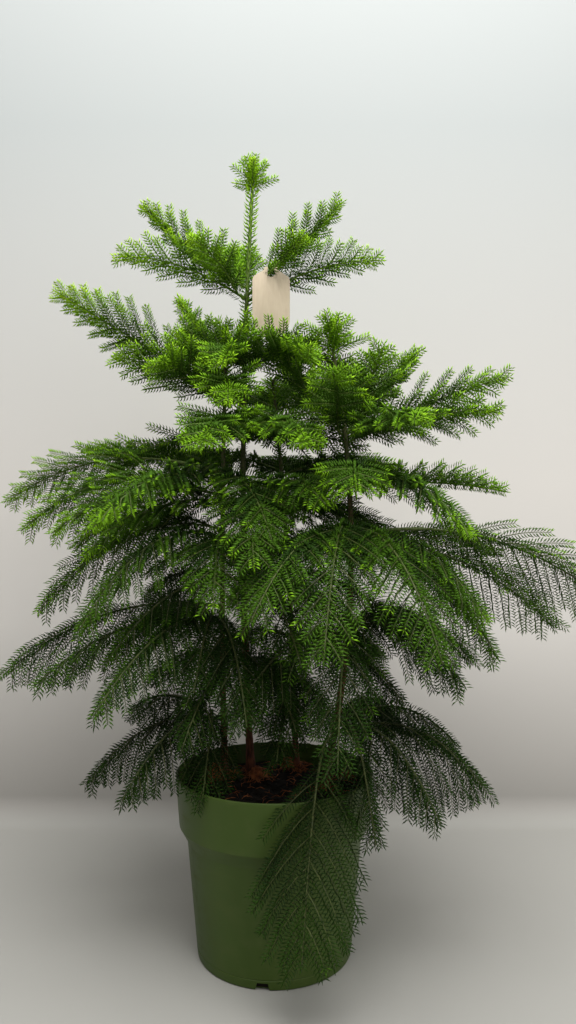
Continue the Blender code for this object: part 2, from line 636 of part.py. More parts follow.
def spray_tilt(limb):
    """Sprays rise on the young limbs and hang on the old ones below, where a limb's own tilt doesn't say otherwise."""
    if limb.tilt is not None:
        return limb.tilt
    low, middle, high = TILT_HEIGHTS
    if limb.height < middle:
        share = max(0, (limb.height - low) / (middle - low))
        return TILTS[0] + (TILTS[1] - TILTS[0]) * share
    share = min(1, (limb.height - middle) / (high - middle))
    return TILTS[1] + (TILTS[2] - TILTS[1]) * share


def spray_plane(along, roll):
    """The directions across and above a limb, turned about it by a roll in degrees."""
    level = along.cross(Vector((0, 0, 1))).normalized()
    above = level.cross(along).normalized()
    turn = math.radians(roll)
    across = level * math.cos(turn) + above * math.sin(turn)
    return across, across.cross(along).normalized()


def limb_blades(limb, path, dice):
    """Two rows of blades up the leafy part of a limb, and one at its tip."""
    start = limb.bare + (1 - limb.bare) * limb.leafless
    rows = max(2, round((1 - start) * path.length / BLADE_PITCH))
    tip_root = on_twig(limb, path, TWIG_END - TIP_OVERLAP)
    to_tip = path.place(1) - tip_root
    across, _ = spray_plane(to_tip.normalized(), limb.roll)
    blades = [Blade(tip_root, to_tip.normalized(), across, to_tip.length)]
    for row in range(rows):
        tilt = spray_tilt(limb) + ROW_TILTS[row % len(ROW_TILTS)]
        for side in (-1, 1):
            share = (row + ROW_START + ROW_STAGGER * side) / rows
            place = start + (ROW_END - start) * share
            blades.append(side_blade(limb, path, place, side, tilt, spray_length(limb, share), dice))
    return blades


def side_blade(limb, path, place, side, tilt, length, dice):
    """A blade that leaves the limb at a forward angle, tilted from the spray's plane and rolled about itself."""
    along = path.tangent(place)
    across, above = spray_plane(along, limb.roll)
    lean = math.radians(LEAN_ROOT - LEAN_FALL * place + dice.uniform(-LEAN_SPREAD, LEAN_SPREAD))
    tilt = math.radians(tilt + dice.uniform(-TILT_SPREAD, TILT_SPREAD))
    out = across * side * math.cos(tilt) + above * math.sin(tilt)
    direction = (along * math.cos(lean) + out * math.sin(lean)).normalized()
    flat = along * math.sin(lean) - out * math.cos(lean)
    roll = math.radians(dice.uniform(-BLADE_ROLL, BLADE_ROLL))
    flat = (flat * math.cos(roll) + direction.cross(flat) * math.sin(roll)).normalized()
    return Blade(on_twig(limb, path, place), direction, flat, length * dice.uniform(*LENGTH_SPREAD))


def tuft_blades(foot, top, spread, dice):
    """Blades round an upright twig by the golden angle, shorter and steeper towards its tip."""
    axis = top - foot
    top_root = foot.lerp(top, 1 - TUFT_TOP_BLADE)
    upmost = axis.length * TUFT_TOP_BLADE
    blades = [Blade(top_root, axis.normalized(), Vector((1, 0, 0)), upmost, TUFT_TOP_LEAST)]
    for i in range(TUFT_BLADES):
        share = i / (TUFT_BLADES - 1)
        turn = i * GOLDEN_ANGLE
        steep = TUFT_STEEP[0] + (TUFT_STEEP[1] - TUFT_STEEP[0]) * share
        steep = math.radians(steep + dice.uniform(-LEAN_SPREAD, LEAN_SPREAD))
        out = Vector((math.cos(turn), math.sin(turn), 0))
        direction = out * math.cos(steep) + Vector((0, 0, math.sin(steep)))
        flat = direction.cross(Vector((0, 0, 1))).normalized()
        length = spread * (1 - TUFT_SHORTER * share) * dice.uniform(*LENGTH_SPREAD)
        root = foot.lerp(top, TUFT_BAND[0] + (TUFT_BAND[1] - TUFT_BAND[0]) * share)
        blades.append(Blade(root, direction, flat, length))
    return blades


# Masses

class Space:
    """The solids placed so far, each as a tree that a new blade is tested against."""

    def __init__(self):
        self.trees = []

    def take(self, owner, points, faces):
        low = Vector([min(point[axis] for point in points) for axis in range(3)])
        high = Vector([max(point[axis] for point in points) for axis in range(3)])
        self.trees.append((owner, low, high, BVHTree.FromPolygons(points, faces)))

    def is_free(self, owner, blade):
        """True where a slightly swollen blade touches no other piece, the soil or the ground."""
        points, faces = blade_solid(blade, BLADE_CLEARANCE)
        low = Vector([min(point[axis] for point in points) for axis in range(3)])
        high = Vector([max(point[axis] for point in points) for axis in range(3)])
        near_pot = min(math.hypot(point.x, point.y) for point in points) < POT_RIM_RADIUS
        if low.z < LOWEST_NEEDLE or (near_pot and low.z < SOIL_TOP + SOIL_CLEARANCE):
            return False
        tree = BVHTree.FromPolygons(points, faces)
        for other, other_low, other_high, other_tree in self.trees:
            apart = any(low[axis] > other_high[axis] or high[axis] < other_low[axis] for axis in range(3))
            if other != owner and not apart and tree.overlap(other_tree):
                return False
        return True


def fitted_blade(space, owner, blade):
    """The blade, or a shorter one where it would touch a neighbour, or none."""
    while blade.length > blade.least:
        if space.is_free(owner, blade):
            return blade
        blade = blade._replace(length=blade.length * BLADE_TRIM)
    return None


def needle_colour(height):
    share = min(1, max(0, (height - OLD_HEIGHT) / (YOUNG_HEIGHT - OLD_HEIGHT)))
    return [old + (young - old) * share ** COLOUR_EASE for old, young in zip(NEEDLE_OLD, NEEDLE_YOUNG)]


def fuse(name, twigs, blades, colour):
    """One solid of twigs and their blades, by a union with a collection that is then removed."""
    parts = bpy.data.collections.new(name)
    bpy.context.scene.collection.children.link(parts)
    for i, solid in enumerate(twigs[1:] + [blade_solid(blade) for blade in blades]):
        piece = bpy.data.objects.new(f"{name}_piece_{i}", mesh_from("piece", *solid))
        parts.objects.link(piece)
    mass = add_object(name, mesh_from(name, *twigs[0]), plain_material(name, colour, 0.6))
    union = mass.modifiers.new("Pieces", "BOOLEAN")
    union.operation = "UNION"
    union.operand_type = "COLLECTION"
    union.collection = parts
    for solver in ("EXACT", "MANIFOLD"):
        union.solver = solver
        joined = evaluated_mesh(mass)
        if is_whole(joined):
            break
    mass.modifiers.clear()
    mass.data = joined
    for piece in list(parts.objects):
        bpy.data.objects.remove(piece, do_unlink=True)
    bpy.data.collections.remove(parts)
    return mass


def add_limbs(space, bark):
    """Every bough, and every limb's path and twig, listed by the mass that it belongs to."""
    masses = {}
    for limb in sorted(LIMBS, key=lambda limb: bool(limb.mass)):
        path = Path(limb)
        if limb.bare:
            radii = (BOUGH_ROOT_RADIUS, BOUGH_TIP_RADIUS)
            solid = loft(limb_rings(limb, path, 0, limb.bare, radii, BOUGH_SIDES, BOUGH_RINGS))
            space.take(f"bough_{limb.name}", *solid)
            add_object(f"bough_{limb.name}", mesh_from(limb.name, *solid), bark)
        radii = (TWIG_ROOT_RADIUS, TWIG_TIP_RADIUS)
        start = twig_axis(limb, path)[0]
        twig = loft(limb_rings(limb, path, start, TWIG_END, radii, TWIG_SIDES, TWIG_RINGS))
        name = f"foliage_{limb.mass or limb.name}"
        space.take(name, *twig)
        masses.setdefault(name, []).append((limb, path, twig))
    return masses


def add_tufts(space, dice):
    """The twigs of the upright tufts, with their blades."""
    made = []
    for name, (stem_name, height, spread) in TUFTS.items():
        stem = STEMS[stem_name]
        foot = Vector(stem.tip) + Vector((0, 0, GAP))
        top = foot + Vector((0, 0, height))
        upright = Vector((0, 0, 1))
        rings = [ring(foot, upright, stem.tip_radius, TWIG_SIDES)]
        rings.append(ring(foot.lerp(top, TUFT_TWIG_END), upright, TWIG_TIP_RADIUS, TWIG_SIDES))
        twig = loft(rings)
        space.take(f"foliage_{name}_tuft", *twig)
        made.append((f"foliage_{name}_tuft", [twig], tuft_blades(foot, top, spread, dice)))
    return made


def add_foliage(space, bark):
    """All twigs take their place first, then each mass gets the blades that still fit."""
    dice = random.Random(7)
    masses = add_limbs(space, bark)
    planned = add_tufts(space, dice)
    for name, limbs in masses.items():
        blades = [blade for limb, path, _ in limbs for blade in limb_blades(limb, path, dice)]
        planned.append((name, [twig for _, _, twig in limbs], blades))
    for name, twigs, blades in planned:
        kept = []
        for blade in blades:
            fitted = fitted_blade(space, name, blade)
            if fitted:
                kept.append(fitted)
                space.take(name, *blade_solid(fitted))
        heights = [point.z for points, _ in twigs for point in points]
        fuse(name, twigs, kept, needle_colour(sum(heights) / len(heights)))


# Hang tag

def arc(centre, radius, start, end, steps):
    """Points along an arc, from one angle in degrees to another."""
    turns = [math.radians(start + (end - start) * i / steps) for i in range(steps + 1)]
    return [(centre[0] + radius * math.cos(turn), centre[1] + radius * math.sin(turn)) for turn in turns]


def tag_outline():
    """The card's outline about its eye's centre: a stadium, with a slit from its top edge into the eye."""
    half = TAG_WIDTH / 2
    top = (0, TAG_EYE_DROP - half)
    bottom = (0, TAG_EYE_DROP - TAG_HEIGHT + half)
    lip = math.degrees(math.asin(TAG_SLIT / 2 / half))
    mouth = math.degrees(math.asin(TAG_SLIT / 2 / TAG_EYE_RADIUS))
    outline = arc(top, half, 90 + lip, 180, TAG_CORNER_STEPS)
    outline += arc(bottom, half, 180, 360, TAG_CORNER_STEPS * 2)
    outline += arc(top, half, 0, 90 - lip, TAG_CORNER_STEPS)
    outline += arc((0, 0), TAG_EYE_RADIUS, 90 - mouth, -270 + mouth, TAG_EYE_STEPS)
    return outline


def add_tag(space):
    """A bare card hung by its eye on the front twig of the tall stem's top whorl."""
    path = Path(limb_named(TAG_LIMB))
    twig_radius = TWIG_ROOT_RADIUS + (TWIG_TIP_RADIUS - TWIG_ROOT_RADIUS) * TAG_PLACE / TWIG_END
    drop = twig_radius + GAP - TAG_EYE_RADIUS
    eye = path.place(TAG_PLACE) + Vector((0, 0, drop))
    turn = math.radians(TAG_YAW)
    across = Vector((math.cos(turn), math.sin(turn), 0))
    depth = Vector((-across.y, across.x, 0)) * TAG_THICKNESS / 2
    outline = tag_outline()
    count = len(outline)
    points = [eye + across * x + Vector((0, 0, z)) + depth * side for side in (-1, 1) for x, z in outline]
    faces = [list(range(count)), [count + i for i in range(count)][::-1]]
    for i in range(count):
        j = (i + 1) % count
        faces.append([i, i + count, j + count, j])
    mesh = mesh_from("hang_tag", points, faces)
    add_object("hang_tag", mesh, plain_material("card", TAG_BEIGE, 0.8))
    space.take("hang_tag", *mesh_parts(mesh))


def main():
    clear_scene()
    bark = plain_material("bark", BARK_BROWN, 0.85)
    space = Space()
    add_pot()
    add_soil()
    for name, stem in STEMS.items():
        solid = loft(stem_rings(stem))
        space.take(name, *solid)
        add_object(name, mesh_from(name, *solid), bark)
    add_tag(space)
    add_foliage(space, bark)


main()
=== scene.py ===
"""Looks of the potted Norfolk Island pine: bark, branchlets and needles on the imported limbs, and pot, soil and tag."""

import math
from typing import NamedTuple

import bpy
import numpy as np
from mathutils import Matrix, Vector, noise


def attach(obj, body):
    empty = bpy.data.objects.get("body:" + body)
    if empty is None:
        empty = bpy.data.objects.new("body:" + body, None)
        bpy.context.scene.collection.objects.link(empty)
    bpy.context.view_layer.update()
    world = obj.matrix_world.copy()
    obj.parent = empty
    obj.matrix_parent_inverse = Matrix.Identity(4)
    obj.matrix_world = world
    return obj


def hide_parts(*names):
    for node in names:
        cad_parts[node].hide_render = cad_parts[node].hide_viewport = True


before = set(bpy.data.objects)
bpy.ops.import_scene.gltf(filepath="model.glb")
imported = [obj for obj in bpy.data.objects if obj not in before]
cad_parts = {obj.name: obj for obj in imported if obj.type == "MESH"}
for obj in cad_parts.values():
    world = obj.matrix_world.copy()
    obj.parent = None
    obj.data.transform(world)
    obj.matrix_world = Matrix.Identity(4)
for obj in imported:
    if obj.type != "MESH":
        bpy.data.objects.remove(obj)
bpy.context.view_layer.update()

# Camera, level, as the photograph was taken
CAMERA_PLACE = (0.0186, -1.129, 0.5995)
LENS_MM = 28.8
SENSOR_MM = 36

# Lights: name, place, size in metres and watts
LIGHTS = (
    ("ceiling", (0.12, -0.8, 2.6), 2.0, 82),
    ("front_fill", (1.3, -1.9, 1.2), 1.6, 13),
)
LIGHT_TARGET = (0, 0, 0.6)
LIGHT_COLOUR = (1, 0.99, 0.96)
WORLD_COLOUR = (1, 0.98, 0.95, 1)
WORLD_STRENGTH = 0.21

# Backdrop
FLOOR_SIZE = 8
FLOOR_PLACE = (0, -3.59, 0)
SWEEP_RADIUS = 0.05
SWEEP_STEPS = 12
WALL_HEIGHT = 4

# Angles in degrees up to which an edge is shaded smooth, and the distance at which points merge
EDGE_ANGLE = 35
ROUGH_ANGLE = 60
MERGE_DISTANCE = 0.00001

# Pot
POT_HEIGHT = 0.245
POT_RIM_RADIUS = 0.135
POT_RIM_ROUND = 0.0016
POT_COLLAR_RADIUS = 0.130
POT_COLLAR_FOOT = 0.177
COLLAR_FACE = (0.239, 0.181)
COLLAR_ROUND = 0.003
COLLAR_ROUND_CENTRE = (0.127, 0.178)
POT_SHOULDER_RADIUS = 0.119
POT_SHOULDER = 0.158
SHOULDER_POINTS = ((0.1202, 0.1595), (0.119, 0.156))
POT_FOOT_RADIUS = 0.105
POT_FOOT_ROUND = 0.003
POT_WALL = 0.0022
POT_FLOOR = 0.004
POT_STEPS = 144
BAND_HEIGHT = 0.0135
BAND_DEPTH = 0.0005
NOTCH_COUNT = 4
NOTCH_HEADING = -97.4
NOTCH_WIDTH = 0.023
NOTCH_TOP_WIDTH = 0.014
NOTCH_HEIGHT = 0.010
NOTCH_DEPTH = 0.007

# The band's points: the rise where the wall's radius is taken, the point's own rise, and its inset
BAND_POINTS = ((0.001, 0.001, 0), (0.0006, 0.0005, BAND_DEPTH), (-0.0006, -0.0005, BAND_DEPTH), (-0.001, -0.001, 0))

# Soil. Each noise is given by its roughness, the step between its octaves and their count
SOIL_TOP = 0.222
SOIL_GAP = 0.0003
SOIL_CORE = 0.002
SOIL_STEPS = 120
SOIL_RING = 0.0022
SOIL_SURFACE = 0.001
SOIL_SINK = 0.002
SOIL_CELLS = 60
SOIL_SLICE = 0.3
SOIL_NOISE = (0.9, 2.1, 4)
SOIL_LUMP = 0.0035
SOIL_EDGE = 0.112
SOIL_EDGE_WIDTH = 0.02
SOIL_EDGE_DROP = 0.004
MOUND_HEIGHT = 0.007
MOUND_RADIUS = 0.020

# Lumps of fibre that stand out of the soil: x, y, radius and height
PLUGS = (
    (-0.085, 0.022, 0.0095, 0.0150),
    (-0.026, 0.030, 0.0075, 0.0110),
    (0.018, 0.070, 0.0070, 0.0130),
    (0.098, 0.030, 0.0070, 0.0100),
)
PLUG_CELLS = 2.2
PLUG_APART = 7
PLUG_NOISE = (0.8, 2.1, 5)
PLUG_ROUGHNESS = 0.45
FUZZ_CELLS = 14
FUZZ_CELLS_UP = 5
FUZZ_NOISE = (0.7, 2.1, 3)
FUZZ = 0.12

# Loose strands of fibre. Each spread is the deviation of their places
PLUG_STRANDS = 90
PLUG_SPREAD = 0.01125
LOOSE_STRANDS = 120
LOOSE_SPREAD = 0.05625
FIBRE_LIMIT = 0.118
FIBRE_SEED = 5
FIBRE_POINTS = 5
FIBRE_SIDES = 3
FIBRE_LENGTHS = (0.006, 0.018)
FIBRE_RADII = (0.00025, 0.0006)
FIBRE_BOW = 0.3
FIBRE_ARCHES = (0.0002, 0.0026)
FIBRE_LIFT = 0.0006

# Stems and limbs, as the solids have them
FLARE = 0.8
FLARE_HEIGHT = 0.018
LIMB_SEAT = 0.95
LIMB_BEND = 0.55
LIMB_POINTS = 81
JOIN = 0.012
TANGENT_STEP = 0.01
BOUGH_ROOT_RADIUS = 0.0030
BOUGH_TIP_RADIUS = 0.0021
BOUGH_ROWS = 60
BOUGH_SIDES = 12
STEM_SINK = 0.0015
STEM_ROWS = 220
STEM_SIDES = 20
TWIG_ROOT_RADIUS = 0.0019
TWIG_TIP_RADIUS = 0.0007
TWIG_END = 0.99
TWIG_POINTS = 16
TWIG_SIDES = 6

# A tube that rises by more than this share of its length is turned about a level guide instead of an upright one
STEEP_STRAND = 0.9
STEEP_BARK = 0.7

# Bark: noise cells round and up, depths as shares of the radius, and the waves that place the scars
BARK_ROW = 0.004
BARK_CELLS = 700
BARK_CELLS_UP = 60
BARK_NOISE = (1.0, 2.0, 3)
FISSURE_DEPTH = 0.09
SCAR_DEPTH = 0.07
SCAR_WAVES = (900, 3, 300, 5)

# Sprays. Their tilts and curls change at these heights
TIER_HEIGHTS = (0.30, 0.55, 0.85)
SPRAY_TILTS = (-38, -14, 18)
SPRAY_CURLS = (-0.42, -0.22, 0.14)
SPRAY_LEAST = 0.35
SPRAY_START = 0.55
SPRAY_GAIN = 1.5

# Branchlets
BRANCHLET_PITCHES = (0.0180, 0.0160)
BRANCHLET_RADIUS = 0.0010
BRANCHLET_TAPER = 0.4
BRANCHLET_POINTS = 5
BRANCHLET_SIDES = 3
BRANCHLET_LEANS = (52, 40)
BRANCHLET_RANGE = (0.92, 1.04)
ROW_TILTS = (-20, 12)
ROW_PLACE = 0.35
ROW_STAGGER = 0.2
ROW_END = 0.95
LEAST_ROWS = 4
YOUTH_START = 0.55
YOUTH_GAIN = 1.4
TILT_WOBBLE = 6
CURL_WOBBLE = 0.03
LEAN_WOBBLE = 3

# Needles. Pairs of values are for the old growth below and the young growth above the pair of heights
PAIR_HEIGHTS = (0.50, 0.80)
PAIR_PITCHES = (0.0022, 0.0014)
NEEDLE_LENGTHS = (0.0138, 0.0122)
NEEDLE_RADII = (0.00078, 0.00100)
NEEDLE_LEANS = (70, 50)
NEEDLE_TIP_SIZE = 0.75
NEEDLE_RANGE = (0.93, 1.04)
NEEDLE_MIDDLE = 0.42
NEEDLE_BEND = 0.21
NEEDLE_OVERHANG = 0.5
NEEDLES_A_PIECE = 31000
GROWTH_SEED = 11
LEAST_PAIRS = 3
FAN_HEIGHT = 0.68
FANS = (2, 3)
FAN_WOBBLE = 0.16
PAIR_TWIST = math.radians(68.75)
BACKWARD = (0, 1, 0)
LEAFY_START = 0.03
LEAFY_POINTS = 24
LEAFY_YOUTH = 0.15
TIP_START = 0.60
TIP_YOUTH = 0.9

# Needles on a stem: the share of it that is old, then youth, lengths and leans of its old and its young part
STEM_NEEDLE_PITCH = 0.0020
STEM_NEEDLE_POINTS = 40
STEM_OLD_SHARE = 0.45
STEM_NEEDLES = (
    (0.00, (0.0090, 0.0120), (75, 62)),
    (0.30, (0.0145, 0.0150), (66, 52)),
)

# Tufts. Pairs of values are for the lowest and the highest branchlet
GOLDEN_ANGLE = math.radians(137.5)
TUFT_BRANCHLETS = 13
TUFT_POINTS = 6
TUFT_RADIUS = 0.9
TUFT_PITCH = 0.0010
TUFT_LEANS = (65, 25)
TUFT_RISES = (12, 62)
TUFT_RISE_WOBBLE = 5
TUFT_LENGTHS = (1, 0.55)
TUFT_ROOTS = (0.15, 0.70)
TUFT_RANGE = (0.85, 1)
TUFT_CURL = 0.10
TUFT_YOUTH = 0.6
TUFT_TOP_YOUTH = 0.7

# Where a needle's green comes from: its height, as painted light from above and painted shade below, its distance from
# the crown's axis, as painted shade inside the crown, and its youth, which is painted to show less in that shade
CROWN_FOOT = 0.30
CROWN_RISE = 0.66
CROWN_AXIS = (0.02, 0.03)
CROWN_RADIUS = 0.32
GREEN_LEAST = 0.04
GREEN_BY_LIGHT = 0.42
GREEN_BY_REACH = 0.16
GREEN_BY_YOUTH = 0.36
GREEN_WOBBLE = 0.05
SHADED_YOUTH = 0.40

# Hang tag. The shoulders run from the card's side to its top, by shares of a quarter turn
TAG_WIDTH = 0.052
TAG_HEIGHT = 0.097
TAG_THICKNESS = 0.0012
TAG_POINTS = 64
TAG_EDGE = 0.00025
TAG_EYE_RADIUS = 0.0053
TAG_EYE_DROP = 0.0090
TAG_EYE_POINTS = 40
TAG_MOUTH = 0.0092
TAG_CUT = 0.01
TAG_GAP = 0.0003
TAG_LIMB = "tall_front"
TAG_PLACE = 0.42
TAG_YAW = 6
TAG_SHARES = (0, 0.18, 0.45, 0.70, 0.88, 1)
TAG_SHOULDER_X = (0.0260, 0.0245, 0.0172, 0.0104, 0.0088, 0)
TAG_SHOULDER_Y = (0, 0.0050, 0.0098, 0.0140, 0.0185, 0.0190)
SOLID_TWIG_RADII = (0.0022, 0.0012)
SOLID_TWIG_END = 0.92

TALL, LEFT, RIGHT, BACK = "stem_tall", "stem_left", "stem_right", "stem_back"


class Stem(NamedTuple):
    """One stem: its foot, waist and tip, its radius at both ends, and the height where its needles start."""

    foot: tuple
    waist: tuple
    tip: tuple
    root_radius: float
    tip_radius: float
    leafy: float


class Limb(NamedTuple):
    """One limb, with the values that its solids have."""

    name: str
    stem: str
    height: float
    heading: float
    reach: float
    rise: float
    lift: float
    spread: float
    tilt: float = None
    roll: float = 0
    bare: float = 0
    leafless: float = 0.12
    mass: str = ""


STEMS = {
    TALL: Stem((-0.035, 0.060, SOIL_TOP), (-0.046, 0.050, 0.600), (-0.032, 0.031, 1.052), 0.0052, 0.0024, 0.60),
    LEFT: Stem((-0.072, 0.048, SOIL_TOP), (-0.0755, 0.046, 0.520), (-0.070, 0.036, 0.822), 0.0046, 0.0023, 0.47),
    RIGHT: Stem((0.066, -0.010, SOIL_TOP), (0.104, -0.012, 0.600), (0.080, -0.018, 0.815), 0.0052, 0.0024, 0.40),
    BACK: Stem((0.030, 0.085, SOIL_TOP), (0.020, 0.085, 0.500), (-0.004, 0.080, 0.795), 0.0044, 0.0022, 0.36),
}

TUFTS = {
    "tall": (TALL, 0.052, 0.048),
    "left": (LEFT, 0.045, 0.060),
    "right": (RIGHT, 0.050, 0.060),
}

